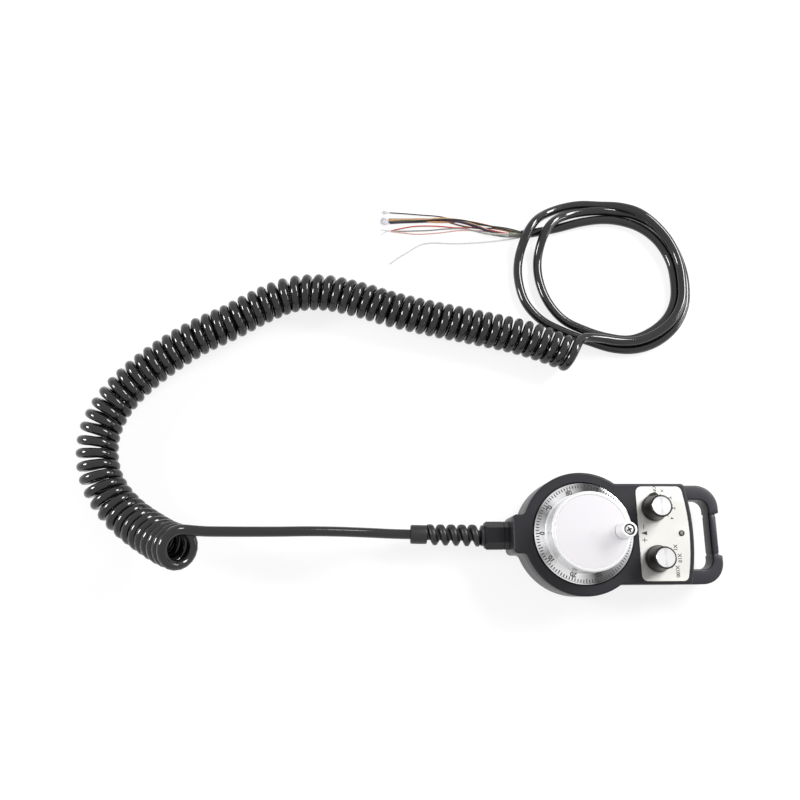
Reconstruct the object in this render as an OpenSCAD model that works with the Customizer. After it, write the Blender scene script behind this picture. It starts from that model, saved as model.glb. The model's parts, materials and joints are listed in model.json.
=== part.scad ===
// Hand-held pulse generator pendant: a handwheel with a crank knob, two selector
// knobs and a lamp on a two-part housing with a carrying loop, and its coiled cord.
// +X runs from the cord to the carrying loop, +Z out of the front panel.

/* [Housing] */
// Height of the closed housing
body_h = 38; // [36:0.5:46]
// Height of the front cover above the parting line
cover_h = 11; // [11:0.5:14]
// Radius of the round part that carries the handwheel
round_r = 49; // [48:0.5:60]
// Width across the switch panel
panel_w = 80; // [78:1:96]
// Handwheel centre to the middle of the curved panel end
panel_reach = 90; // [88:0.5:106]
// Radius of the curved panel end
panel_end_r = 170; // [130:5:260]
// Radius of the panel's outer corners
panel_corner_r = 3; // [2.5:0.5:6]
// Width of the neck that holds the gland
neck_w = 31; // [30:0.5:38]
// Handwheel centre to the neck's end wall
neck_reach = 56.5; // [56:0.5:68]
// Radius of the neck's corners and of the fillets at the round part
fillet_r = 4; // [2:0.5:6]
// Thickness of the side walls and of the back
wall = 2.5; // [2:0.1:3]
// Thickness of the front plate
plate_t = 3; // [2.5:0.1:3.6]
// Radius of the rounded edge round the front face
face_edge_r = 1.2; // [0.4:0.1:1.6]
// Radius of the rounded edge round the back face
back_edge_r = 2; // [1:0.5:2.5]

/* [Carrying loop] */
// Handwheel centre to the outer face of the loop
handle_reach = 117; // [114:1:142]
// Thickness of the loop, from the parting line down
handle_t = 16; // [10:0.5:19]
// Width of each side arm
handle_arm_w = 12; // [8:0.5:16]
// Width of the end bar
handle_bar_w = 8.5; // [7:0.5:12]
// Outer corner radius of the loop
handle_corner_r = 18; // [12:1:24]
// Inner corner radius of the loop
handle_inner_r = 8; // [4:1:12]
// Radius of the loop's rounded edges
handle_edge_r = 2.5; // [1:0.5:3.5]
// Length of the hanging notch along the end bar
notch_len = 32; // [20:1:40]
// Depth of the hanging notch
notch_d = 2.3; // [1:0.1:3]

/* [Handwheel] */
// Outer radius of the graduated ring
ring_r = 40; // [36:0.5:42]
// Radius of the raised wheel at its lip
wheel_r = 31; // [28:0.1:32]
// Height of the wheel's top above the front face
wheel_rise = 23; // [18:0.5:28]
// Height of the ring's face above the front face
ring_rise = 1.2; // [0.8:0.1:2]
// Depth of the round pocket in the front face
pocket_d = 2.2; // [1.6:0.1:2.6]
// How far the wheel's side is hollowed for the fingers
side_hollow = 1.6; // [0.6:0.1:2]
// Thickness of the wheel's wall and of its top
wheel_wall = 3; // [2.5:0.1:4]
// Distance of the crank knob from the wheel's axis
crank_offset = 24.6; // [22:0.1:24.8]
// Height of the crank knob
crank_h = 14.4; // [11:0.2:20]
// Radius of the crank knob at its foot
crank_foot_r = 6.4; // [6:0.1:7]
// Radius of the crank knob at its top
crank_top_r = 5.9; // [5.6:0.1:6.2]

/* [Encoder] */
// Radius of the encoder's shaft
shaft_r = 4; // [3.5:0.1:4.4]
// Outer radius of the shaft bearings
bearing_r = 11; // [9:0.5:12]
// Width of the shaft bearings
bearing_w = 7; // [5:0.5:7]
// Outer radius of the encoder's housing
encoder_r = 29; // [27:0.5:30]
// Depth of the encoder below the pocket
encoder_h = 22; // [21.5:0.5:24]
// Number of windows in the code disc
code_windows = 100; // [25, 50, 100]

/* [Selector knobs] */
// Handwheel centre to the selector axes
switch_x = 58.5; // [57:0.5:66]
// Distance of each selector axis from the middle line
switch_y = 20; // [18:0.5:22]
// Radius of a knob at its foot
knob_foot_r = 10.5; // [9:0.1:12]
// Radius of a knob at its top
knob_top_r = 8.5; // [8.3:0.1:9.5]
// Height of a knob's top above the front face
knob_rise = 18; // [15:0.5:22]
// Radius of the turned cap in a knob's top
cap_r = 7.5; // [6.5:0.1:7.6]
// Radius of a switch shaft
stem_r = 3; // [2.5:0.1:3.2]
// Radius of a switch body
switch_r = 13; // [11:0.5:13.5]
// Height of a switch body
switch_h = 14; // [10:0.5:15]

/* [Label and lamp] */
// Thickness of the label plate
label_t = 0.6; // [0.4:0.1:1]
// Handwheel centre to the label's straight edge
label_x = 44.7; // [44.5:0.1:46]
// Margin from the label to the panel's sides
label_margin = 2.5; // [2:0.1:5]
// Margin from the label to the panel's curved end
label_end_margin = 4; // [2:0.1:5]
// Corner radius of the label
label_corner_r = 4.8; // [2:0.2:7]
// Handwheel centre to the lamp
lamp_x = 79.5; // [76:0.5:82]
// Radius of the lamp's lens
lamp_r = 1.5; // [1.2:0.1:2]

/* [Cable gland] */
// Height of the gland's axis above the back face
gland_z = 17; // [16:0.5:20]
// Radius of the gland's thread
gland_r = 8; // [7:0.5:8]
// Distance across the flats of the gland's nuts
gland_flats = 20; // [18:0.5:24]
// Length of the gland's collar outside the wall
collar_len = 4.5; // [3:0.5:6]
// Length of the gland's cap nut
cap_nut_len = 16; // [14:0.5:20]
// Length of the spiral strain relief
relief_len = 60; // [40:1:60]
// Radius of the spiral strain relief at the gland
relief_r = 9; // [8:0.1:9.8]
// Turns of the spiral
relief_turns = 5; // [3:1:7]

/* [Cord] */
// Outer diameter of the cord
cord_d = 8; // [6:0.5:8]
// Outer diameter of the coiled stretch
coil_d = 34; // [28:1:38]

/* [Hidden] */
$fn = 64;

// Clearances
running = 0.05;      // radial, between a shaft and what it turns in
seat = 0.03;         // radial, between pieces that are fixed together
easy = 0.2;          // between housing pieces that only fit past each other
air = 0.3;           // between moving pieces that must not touch

// Heights above the back face
split_z = body_h - cover_h;
plate_z = body_h - plate_t;
pocket_z = body_h - pocket_d;
slab_z = pocket_z - plate_t;
label_z = body_h + label_t;
handle_z = split_z - handle_t;

// Places along X
gland_reach = neck_reach + collar_len + cap_nut_len;
wheel_x = (gland_reach - handle_reach) / 2;

// Encoder stack
encoder_z = slab_z - encoder_h;
encoder_wall = 2.5;
encoder_flange_t = 3;
encoder_flange_r = encoder_r + 9.5;
encoder_front_t = bearing_w + 1.8;
front_wall_z = pocket_z - encoder_front_t;
encoder_cap_t = 3;
rear_boss_r = bearing_r + 3;
encoder_screw_r = encoder_r + 6;
encoder_screw_count = 3;
disc_z = encoder_z + bearing_w + 4;
disc_t = 1;
disc_r = encoder_r - 9;
disc_hub_r = shaft_r + 4;
disc_hub_h = 4;
board_t = 1.6;
board_z = front_wall_z - board_t - easy;

// Handwheel stack
wheel_z = pocket_z + 0.6;
ring_z = body_h + ring_rise;
wheel_top_z = body_h + wheel_rise;
face_t = 0.8;
face_r = wheel_r - 2.8;
face_floor_z = wheel_top_z - face_t;
wheel_boss_r = shaft_r + 5;
shaft_top_z = wheel_top_z - 9;
screw_r = 1.95;
crank_boss_r = 4.4;
crank_seat_z = wheel_top_z + 0.1;
washer_t = 0.6;
crank_z = crank_seat_z + washer_t + easy;
crank_top_z = crank_z + crank_h;
crank_bore_r = 2.2;
crank_head_r = 3.2;
crank_head_h = 2.2;
crank_recess_r = 4.2;
crank_recess_d = 3;

// Selector knobs
bushing_r = 4.5;
knob_z = label_z + 0.4;
knob_top_z = body_h + knob_rise;
knob_hollow_r = 7.6;
knob_hollow_d = 4.8;
knob_nose = 1.7;
stem_top_z = knob_top_z - 2.5;
stem_foot_z = plate_z - switch_h + 3;
axis_positions = 5;
multiplier_positions = 3;
position_step = 30;
axis_rest = 90;
multiplier_rest = 30;

// Fasteners of the housing
post_r = 3.5;
m3_r = 1.5;
m3_clear_r = 1.7;
pan_head_r = 2.8;
pan_head_h = 2;
screw_recess_d = 9;
lip_h = 1.5;
lip_t = 1.2;
pilot_depth = 7;
round_post_r = round_r - wall - post_r - 0.4;
side_post_y = panel_w / 2 - wall - post_r - 0.2;
posts = [
    [round_post_r * cos(130), round_post_r * sin(130)],
    [round_post_r * cos(230), round_post_r * sin(230)],
    [36, side_post_y], [36, -side_post_y],
    [panel_reach - 12, side_post_y - 1], [panel_reach - 12, -side_post_y + 1]
];

// Terminal board under the switches
terminal_z = 12;
terminal_w = 44;
terminal_len = 32;
terminal_x = switch_x + 1;
terminal_holes = [
    for (x = [-1, 1], y = [-1, 1]) [terminal_x + x * (terminal_len / 2 - 3), y * (terminal_w / 2 - 3)]
];

// Gland
gland_hex_r = gland_flats / 2 / cos(30);
locknut_t = 4;
gland_thread_len = 9;
seal_r = 6;
cord_r = cord_d / 2;

// Conductors from the cord's inner end, under the encoder, to the terminal blocks
core_r = 0.5;
core_x = -gland_reach + 45;
core_down_x = (core_x - encoder_r) / 2;
core_up_x = terminal_x - terminal_len / 2 - 1.2;
core_low_z = wall + 0.8;
core_top_z = terminal_z + board_t + 5.4;
core_floor_z = terminal_z + board_t + 1 + seat;

// Cord on the floor: places in the part's own frame, chosen by eye
lead_points = [
    [wheel_x - gland_reach, 0, gland_z], [-127, 0, 17], [-157, 0, 17], [-172, 0.8, 18],
    [-190, 2, 21.5], [-214, 2.6, 28.5], [-237, 2.4, 36], [-260, 1.6, 43.5], [-283, 1, 51],
    [-301, 0.7, 56.5], [-315, 0.6, 60.5], [-328, 0.5, 64]
];
coil_points = [
    [-331.5, -11.8, 62], [-339, -9.5, 53], [-347.5, -6.2, 44], [-357, -1.2, 35.5],
    [-368, 5, 28], [-379, 12.3, 22], [-388.5, 19.9, 18.5], [-399, 31.5, 17.2],
    [-407.5, 46, 17.2], [-412.5, 65, 17.2], [-411.5, 87, 17.2], [-402, 110, 17.2],
    [-385, 131, 17.2], [-362, 151, 17.2], [-337, 168, 17.2], [-310, 182, 17.2],
    [-284, 197, 17.2], [-258, 208, 17.2], [-230, 210, 17.2], [-200, 204, 17.2],
    [-170, 195, 17.2], [-135, 187, 17.2], [-100, 180, 17.2], [-67, 173, 17.2],
    [-43, 166, 17.2], [-20, 157, 17.2]
];
tail_points = [
    [-19, 166, 26], [-5, 168, 21], [12, 170, 15.5], [30, 169, 12.5], [48, 171, 11.5],
    [66, 179, 11.2], [81, 192, 11.2], [90, 209, 11.2], [92, 228, 11.2], [90, 248, 11.5],
    [82, 268, 12.5], [69, 285, 12.8], [54, 300, 12.3], [35, 308, 7.5], [14, 307, 4],
    [-7, 301, 4], [-25, 292, 5.5], [-38, 281, 12.5], [-48, 266, 12], [-55, 247, 5],
    [-55, 226, 4], [-49, 206, 4], [-36, 190, 4], [-16, 180, 4], [5, 172, 4],
    [26, 165.5, 4], [47, 165, 4], [67, 172, 4], [84, 186, 4], [94.5, 205, 4],
    [97.5, 225, 4], [95.5, 246, 4], [88, 267, 4], [75, 285, 4], [56, 295, 4],
    [35, 299, 4], [14, 298, 4], [-6, 293, 8.5], [-22, 284, 13], [-34, 269, 12],
    [-38, 249, 4], [-37, 228, 4], [-30, 208, 4], [-17, 192, 4], [1, 182.5, 4],
    [21, 176, 4], [42, 174, 4], [61, 181, 4], [77, 194, 4], [86, 211, 4],
    [88, 230, 4], [85, 250, 4], [75, 268, 4], [60, 281, 4], [41, 288, 4],
    [21, 289, 4], [1, 285, 4], [-19, 280, 4], [-36, 277, 4], [-51, 274, 4]
];
wire_routes = [
    [[-51, 275, 4], [-66, 278, 2.4], [-87, 282, 2.4], [-110, 286, 2.4], [-138, 289, 2.4],
     [-165, 288, 2.4]],
    [[-51, 273, 4], [-73, 269, 1], [-97, 266, 1], [-120, 265, 1], [-140, 264, 1],
     [-156, 256, 1], [-173, 244, 1]],
    [[-100, 284, 2.4], [-112, 281, 1], [-131, 276, 1], [-152, 275, 1], [-171, 277, 1]]
];
wire_radii = [2.2, 0.8, 0.9];

// ---- helpers ----------------------------------------------------------------

module from_wheel(x = 0, y = 0, z = 0) {
    translate([wheel_x + x, y, z]) children();
}

module ring_of(count, r) {
    for (i = [0 : count - 1]) rotate(i * 360 / count) translate([r, 0]) children();
}

// A tube between two radii
module tube(outer, inner, h) {
    difference() {
        cylinder(r = outer, h = h);
        translate([0, 0, -1]) cylinder(r = inner, h = h + 2);
    }
}

// A pan-head screw that points down, its head's seat at the origin
module pan_screw(shank_r, head_r, head_h, length) {
    translate([0, 0, -length]) cylinder(r = shank_r, h = length + 0.01);
    difference() {
        cylinder(r1 = head_r, r2 = head_r * 0.82, h = head_h);
        for (a = [0, 90]) rotate(a) translate([-head_r * 0.5, -0.35, head_h - 0.9])
            cube([head_r, 0.7, 1]);
    }
}

function unit(v) = v / norm(v);
function heading(path, i) =
    unit(path[min(i + 1, len(path) - 1)] - path[max(i - 1, 0)]);
function ring_at(path, i, r, sides) =
    let (along = heading(path, i), side = unit(cross([0, 0, 1], along)), up = cross(along, side))
    [for (k = [0 : sides - 1])
        path[i] + r * (cos(360 * (k + 0.5) / sides) * side + sin(360 * (k + 0.5) / sides) * up)];

// A tube swept along a list of points, closed at both ends
module sweep_tube(path, r, sides = 8) {
    n = len(path);
    polyhedron(
        points = [for (i = [0 : n - 1]) each ring_at(path, i, r, sides)],
        faces = concat(
            [[for (k = [0 : sides - 1]) k]],
            [for (i = [0 : n - 2], k = [0 : sides - 1])
                let (a = i * sides + k, b = i * sides + (k + 1) % sides)
                [a, a + sides, b + sides, b]],
            [[for (k = [sides - 1 : -1 : 0]) (n - 1) * sides + k]]
        ),
        convexity = 10
    );
}

// ---- outlines ---------------------------------------------------------------

// An outline is a ring of tangent arcs, counter-clockwise. An arc is its centre,
// its radius (negative where it is hollow) and the angles its normal turns between.
function arc_steps(a) = max(2, ceil(abs(a[3] - a[2]) * (a[1] > 100 ? 0.4 : a[1] > 20 ? 0.2 : 0.06)));
function arc_point(a, i, inset) =
    let (angle = a[2] + (a[3] - a[2]) * i / arc_steps(a))
    a[0] + (a[1] - inset) * [cos(angle), sin(angle)];
function arc_ring(arcs, inset) =
    [for (a = arcs, i = [0 : arc_steps(a)]) arc_point(a, i, inset)];

// The outline's points, drawn in by inset, with the joints between arcs only once
function outline(arcs, inset = 0) =
    let (whole = arc_ring(arcs, 0), ring = arc_ring(arcs, inset), n = len(ring))
    [for (i = [0 : n - 1]) if (norm(whole[i] - whole[(i + n - 1) % n]) > 0.01) ring[i]];

// The upper half of an outline and its mirror image
function both_sides(half) = concat(
    half,
    [for (i = [len(half) - 1 : -1 : 0]) let (a = half[i])
        [[a[0][0], -a[0][1]], a[1], -a[3], -a[2]]]
);

// The curved panel end and its corner, drawn in from the end and from the side
function panel_end_arcs(end_margin, margin, corner_r) =
    let (
        middle = panel_reach - panel_end_r,
        r = panel_end_r - end_margin,
        corner_y = panel_w / 2 - margin - corner_r,
        corner_x = middle + sqrt(pow(r - corner_r, 2) - pow(corner_y, 2)),
        turn = atan2(corner_y, corner_x - middle)
    )
    [[[middle, 0], r, 0, turn], [[corner_x, corner_y], corner_r, turn, 90]];

// A fillet between the round part and a straight side at half_w
function round_fillet(half_w, side) =
    let (
        y = half_w + fillet_r,
        x = side * sqrt(pow(round_r + fillet_r, 2) - pow(y, 2)),
        turn = atan2(y, x)
    )
    [[x, y], -fillet_r, side > 0 ? 90 : turn, side > 0 ? turn : 90];

body_arcs =
    let (front = round_fillet(panel_w / 2, 1), rear = round_fillet(neck_w / 2, -1))
    both_sides(concat(panel_end_arcs(0, 0, panel_corner_r), [
        front,
        [[0, 0], round_r, front[3], rear[2]],
        rear,
        [[fillet_r - neck_reach, neck_w / 2 - fillet_r], fillet_r, 90, 180]
    ]));

label_arcs = both_sides(concat(panel_end_arcs(label_end_margin, label_margin, label_corner_r), [
    [[label_x + label_corner_r, panel_w / 2 - label_margin - label_corner_r],
     label_corner_r, 90, 180]
]));

// The loop's outside and its opening start inside the panel
handle_root = panel_reach - 14;
handle_arcs = both_sides([
    [[handle_reach - handle_corner_r, panel_w / 2 - handle_corner_r], handle_corner_r, 0, 90],
    [[handle_root + 3, panel_w / 2 - 3], 3, 90, 180]
]);
opening_w = panel_w - 2 * handle_arm_w;
opening_arcs = both_sides([
    [[handle_reach - handle_bar_w - handle_inner_r, opening_w / 2 - handle_inner_r],
     handle_inner_r, 0, 90],
    [[handle_root + 1, opening_w / 2 - 3], 3, 90, 180]
]);

// Heights and insets of a rounded lower or upper edge
function low_edge(z, r) = [for (a = [90 : -30 : 0]) [z + r * (1 - sin(a)), r * (1 - cos(a))]];
function high_edge(z, r) = [for (a = [0 : 30 : 90]) [z - r * (1 - sin(a)), r * (1 - cos(a))]];

// Strips across a mirrored outline of n points, from its +X end to its -X end
function cap_strips(n) =
    let (last = n - 1 - n % 2)
    concat(
        n % 2 == 1 ? [[n - 1, 0, last]] : [],
        [for (k = [0 : floor(last / 2) - 1]) [k, k + 1, last - k - 1, last - k]]
    );

// A solid that follows one outline through a list of heights and insets
module lofted(arcs, levels) {
    rings = [for (l = levels) [for (p = outline(arcs, l[1])) [p[0], p[1], l[0]]]];
    n = len(rings[0]);
    top = (len(levels) - 1) * n;
    polyhedron(
        points = [for (r = rings) each r],
        faces = concat(
            cap_strips(n),
            [for (i = [0 : len(levels) - 2], k = [0 : n - 1])
                let (a = i * n + k, b = i * n + (k + 1) % n) [a, a + n, b + n, b]],
            [for (f = cap_strips(n)) [for (j = [len(f) - 1 : -1 : 0]) top + f[j]]]
        ),
        convexity = 6
    );
}

module body_outline(inset = 0) {
    offset(delta = -inset) polygon(outline(body_arcs));
}

// ---- housing ----------------------------------------------------------------

// A flat loop with rounded edges, moulded in one with the casing
module carrying_loop() {
    difference() {
        lofted(handle_arcs, concat(
            low_edge(handle_z, handle_edge_r), high_edge(split_z, handle_edge_r)
        ));
        lofted(opening_arcs, concat(
            [for (l = low_edge(handle_z, handle_edge_r)) [l[0], -l[1]]],
            [for (l = high_edge(split_z, handle_edge_r)) [l[0], -l[1]]]
        ));
        // Hanging notch across the outside of the end bar
        translate([handle_reach - notch_d, -notch_len / 2, handle_z - 1]) {
            cube([notch_d + 1, notch_len, handle_t + 2]);
        }
    }
}

module back_casing() {
    color([0.2, 0.2, 0.21]) from_wheel() difference() {
        union() {
            difference() {
                union() {
                    lofted(body_arcs, concat(low_edge(0, back_edge_r), [[split_z, 0]]));
                    carrying_loop();
                }
                translate([0, 0, wall]) linear_extrude(body_h) body_outline(wall);
            }
            for (p = posts) translate(p) cylinder(r = post_r, h = split_z);
            for (p = terminal_holes) translate(p) cylinder(r = 2.6, h = terminal_z);
            for (s = [-1, 1]) translate([-39, s * 10, 0]) cylinder(r = 3, h = gland_z);
        }
        // Recessed screws from the back
        for (p = posts) translate([p[0], p[1], -1]) {
            cylinder(r = m3_clear_r, h = body_h);
            cylinder(r = pan_head_r + 0.3, h = screw_recess_d + 1);
        }
        for (p = terminal_holes) translate([p[0], p[1], wall]) cylinder(r = 1.2, h = terminal_z);
        for (s = [-1, 1]) translate([-39, s * 10, wall]) cylinder(r = 1.2, h = gland_z);
        // Gland hole in the neck
        translate([-neck_reach - 1, 0, gland_z]) rotate([0, 90, 0])
            cylinder(r = gland_r + easy, h = wall + 2);
        // Groove for the seal
        translate([0, 0, split_z - 1]) linear_extrude(2) difference() {
            body_outline(0.9);
            body_outline(1.7);
        }
    }
}

// Lip that locates the cover in the casing, left out at the posts and the gland
module cover_lip() {
    difference() {
        union() {
            translate([0, 0, split_z - lip_h]) linear_extrude(2 * lip_h) difference() {
                body_outline(wall + easy);
                body_outline(wall + easy + lip_t);
            }
            translate([0, 0, split_z]) linear_extrude(lip_h) difference() {
                body_outline(wall - lip_t / 2);
                body_outline(wall + easy + lip_t);
            }
        }
        for (p = posts) translate([p[0], p[1], 0]) cylinder(r = post_r + easy, h = body_h);
        translate([-neck_reach, -neck_w / 2, 0]) cube([12, neck_w, body_h]);
    }
}

module front_cover() {
    color([0.17, 0.17, 0.18]) from_wheel() difference() {
        union() {
            difference() {
                lofted(body_arcs, concat([[split_z, 0]], high_edge(body_h, face_edge_r)));
                translate([0, 0, split_z - 1]) linear_extrude(plate_z - split_z + 1)
                    body_outline(wall);
            }
            translate([0, 0, slab_z]) cylinder(r = ring_r + 4, h = plate_t);
            for (p = posts) translate([p[0], p[1], split_z])
                cylinder(r = post_r, h = cover_h - 1);
            cover_lip();
        }
        // Pocket under the graduated ring, and the encoder's opening
        translate([0, 0, pocket_z]) cylinder(r = ring_r + 1, h = plate_t + 1);
        translate([0, 0, slab_z - 1]) cylinder(r = encoder_r + easy, h = body_h);
        translate([0, 0, slab_z - 1]) ring_of(encoder_screw_count, encoder_screw_r) {
            cylinder(r = m3_r + seat, h = body_h);
            translate([0, 0, plate_t - 0.8]) cylinder(r1 = m3_r, r2 = 3.4, h = 2);
        }
        for (s = [-1, 1]) translate([switch_x, s * switch_y, split_z])
            cylinder(r = bushing_r + easy, h = body_h);
        translate([lamp_x, 0, split_z]) cylinder(r = lamp_r + 0.5, h = body_h);
        for (p = posts) translate([p[0], p[1], split_z - 1])
            cylinder(r = m3_r + seat, h = pilot_depth + 1);
    }
}

module cover_seal() {
    color([0.1, 0.1, 0.1]) from_wheel(z = split_z - 0.95) linear_extrude(0.9) difference() {
        body_outline(0.95);
        body_outline(1.65);
    }
}

module housing_screws() {
    color([0.75, 0.75, 0.75]) from_wheel() for (p = posts)
        translate([p[0], p[1], screw_recess_d]) mirror([0, 0, 1])
            pan_screw(m3_r, pan_head_r, pan_head_h, split_z - screw_recess_d + pilot_depth - 1);
}

module label_plate() {
    color([0.93, 0.92, 0.88]) from_wheel(z = body_h) difference() {
        linear_extrude(label_t) polygon(outline(label_arcs));
        for (s = [-1, 1]) translate([switch_x, s * switch_y, -1])
            cylinder(r = bushing_r + easy, h = 3);
        translate([lamp_x, 0, -1]) cylinder(r = lamp_r + 0.5, h = 3);
    }
}

module lamp_bezel() {
    color([0.25, 0.25, 0.26]) from_wheel(x = lamp_x) difference() {
        union() {
            translate([0, 0, plate_z - 2]) cylinder(r = lamp_r + 0.45, h = plate_t + label_t + 2.2);
            translate([0, 0, label_z]) cylinder(r1 = lamp_r + 0.8, r2 = lamp_r + 0.55, h = 0.7);
        }
        translate([0, 0, split_z]) cylinder(r = lamp_r + seat, h = body_h);
    }
}

module lamp() {
    color([0.55, 0.6, 0.55]) from_wheel(x = lamp_x) {
        translate([0, 0, plate_z - 3]) cylinder(r = lamp_r, h = plate_t + label_t + 3.3);
        for (s = [-1, 1]) translate([s * 0.8, 0, plate_z - 12])
            cylinder(r = 0.3, h = 9.5, $fn = 8);
    }
}

// ---- encoder ----------------------------------------------------------------

module encoder_body() {
    color([0.12, 0.12, 0.13]) from_wheel() difference() {
        union() {
            translate([0, 0, encoder_z]) cylinder(r = encoder_r, h = pocket_z - encoder_z);
            translate([0, 0, slab_z - encoder_flange_t])
                cylinder(r = encoder_flange_r, h = encoder_flange_t);
        }
        translate([0, 0, encoder_z - 1])
            cylinder(r = encoder_r - encoder_wall, h = front_wall_z - encoder_z + 1);
        translate([0, 0, front_wall_z - 1]) cylinder(r = bearing_r + seat, h = bearing_w + 1.1);
        translate([0, 0, encoder_z]) cylinder(r = bearing_r - 2, h = body_h);
        translate([0, 0, encoder_z]) ring_of(encoder_screw_count, encoder_screw_r)
            cylinder(r = m3_r + seat, h = body_h);
    }
}

module encoder_cap() {
    color([0.16, 0.16, 0.17]) from_wheel() difference() {
        union() {
            translate([0, 0, encoder_z - encoder_cap_t]) cylinder(r = encoder_r, h = encoder_cap_t);
            translate([0, 0, encoder_z - 0.5])
                cylinder(r = encoder_r - encoder_wall - seat, h = 2.5);
            translate([0, 0, encoder_z]) cylinder(r = rear_boss_r, h = bearing_w);
        }
        translate([0, 0, encoder_z]) cylinder(r = bearing_r + seat, h = bearing_w + 1);
    }
}

module encoder_screws() {
    color([0.75, 0.75, 0.75]) from_wheel(z = pocket_z) ring_of(encoder_screw_count, encoder_screw_r) {
        translate([0, 0, -8]) cylinder(r = m3_r, h = 7.2);
        translate([0, 0, -1.8]) cylinder(r1 = m3_r, r2 = 3.1, h = 1.7);
    }
}

// A shielded ball bearing as one closed ring with sunk faces
module bearing() {
    difference() {
        tube(bearing_r, shaft_r + running, bearing_w);
        for (z = [-1, bearing_w - 0.4]) translate([0, 0, z])
            tube(bearing_r - 1.6, shaft_r + 1.6, 1.4);
    }
}

module front_bearing() {
    color([0.7, 0.71, 0.73]) from_wheel(z = front_wall_z) bearing();
}

module rear_bearing() {
    color([0.7, 0.71, 0.73]) from_wheel(z = encoder_z) bearing();
}

module encoder_board() {
    color([0.1, 0.35, 0.2]) from_wheel(z = board_z) difference() {
        cylinder(r = encoder_r - encoder_wall - easy, h = board_t);
        translate([0, 0, -1]) cylinder(r = disc_hub_r + 2, h = 5);
        translate([-encoder_r - 1, -encoder_r, -1]) cube([encoder_r - 6, 2 * encoder_r, 5]);
    }
}

module encoder_sensor() {
    sensor_z = disc_z - 2;
    color([0.08, 0.08, 0.09]) from_wheel() difference() {
        translate([disc_r - 5, -4, sensor_z]) cube([9, 8, board_z - sensor_z]);
        translate([disc_r - 6, -5, disc_z - 0.7]) cube([7, 10, disc_t + 1.4]);
    }
}

module encoder_shaft() {
    color([0.72, 0.73, 0.75]) from_wheel() difference() {
        translate([0, 0, encoder_z + air]) cylinder(r = shaft_r, h = shaft_top_z - encoder_z - air);
        translate([0, 0, shaft_top_z - 9]) cylinder(r = screw_r + seat, h = 10);
    }
}

module code_disc() {
    step = 360 / code_windows;
    color([0.5, 0.52, 0.55]) from_wheel() {
        difference() {
            union() {
                translate([0, 0, disc_z]) linear_extrude(disc_t) polygon([
                    for (i = [0 : code_windows - 1], q = [[0, 0], [0, 1], [0.5, 1], [0.5, 0]])
                        (disc_r - 2.2 * q[1]) * [cos((i + q[0]) * step), sin((i + q[0]) * step)]
                ]);
                translate([0, 0, disc_z - 0.5]) cylinder(r = disc_hub_r, h = disc_hub_h);
            }
            translate([0, 0, encoder_z]) cylinder(r = shaft_r + seat, h = body_h);
        }
    }
}

// ---- handwheel --------------------------------------------------------------

// Turned profile of the wheel: graduated ring, hollowed side, lip and inner wall
function wheel_profile() =
    let (foot_z = ring_z + 0.6, lip_z = wheel_top_z - 1.2, steps = 12)
    concat(
        [[0, wheel_z + 0.8], [wheel_boss_r, wheel_z + 0.8],
         [wheel_boss_r, face_floor_z - wheel_wall],
         [wheel_r - side_hollow - wheel_wall, face_floor_z - wheel_wall],
         [wheel_r - side_hollow - wheel_wall, wheel_z],
         [ring_r - 0.6, wheel_z], [ring_r, wheel_z + 0.6], [ring_r, ring_z - 0.3],
         [ring_r - 0.3, ring_z], [ring_r - 1.1, ring_z], [ring_r - 1.4, ring_z - 0.4],
         [wheel_r + 0.4, ring_z]],
        [for (i = [0 : steps]) let (t = i / steps)
            [wheel_r - side_hollow * sin(180 * t), foot_z + (lip_z - foot_z) * t]],
        [for (a = [15 : 15 : 90])
            [wheel_r - 1.2 + 1.2 * cos(a), wheel_top_z - 1.2 + 1.2 * sin(a)]],
        [[face_r + seat, wheel_top_z], [face_r + seat, face_floor_z], [0, face_floor_z]]
    );

module handwheel() {
    color([0.86, 0.87, 0.88]) from_wheel() difference() {
        union() {
            rotate_extrude() polygon(wheel_profile());
            translate([crank_offset, 0, face_floor_z - wheel_wall - 5])
                cylinder(r = crank_boss_r - 0.8, h = wheel_wall + 5);
            translate([crank_offset, 0, face_floor_z - 0.5])
                cylinder(r = crank_boss_r, h = crank_seat_z - face_floor_z + 0.5);
        }
        translate([0, 0, wheel_z - 1]) cylinder(r = shaft_r + seat, h = shaft_top_z - wheel_z + 1);
        cylinder(r = screw_r + 0.15, h = 2 * body_h);
        translate([0, 0, face_floor_z - 2.6]) cylinder(r = crank_head_r + 0.4, h = 10);
        translate([crank_offset, 0, wheel_top_z - 12]) cylinder(r = screw_r + seat, h = 20);
    }
}

module wheel_face() {
    color([0.95, 0.95, 0.96]) from_wheel(z = face_floor_z) difference() {
        cylinder(r = face_r, h = face_t - 0.1);
        translate([crank_offset, 0, -1]) cylinder(r = crank_boss_r + seat, h = 3);
    }
}

module hub_screw() {
    color([0.75, 0.75, 0.75]) from_wheel(z = face_floor_z - 2.6)
        pan_screw(screw_r, crank_head_r, 2.2, 12);
}

module crank_washer() {
    color([0.9, 0.9, 0.88]) from_wheel(crank_offset, 0, crank_seat_z)
        tube(crank_boss_r, crank_bore_r, washer_t);
}

module crank_screw() {
    head_z = crank_top_z - crank_recess_d + air;
    color([0.75, 0.75, 0.76]) from_wheel(crank_offset) {
        translate([0, 0, wheel_top_z - 9]) cylinder(r = screw_r, h = 9.5);
        translate([0, 0, crank_seat_z]) cylinder(r = crank_bore_r - running, h = head_z - crank_seat_z);
        translate([0, 0, head_z]) pan_screw(screw_r, crank_head_r, crank_head_h, 1);
    }
}

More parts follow.
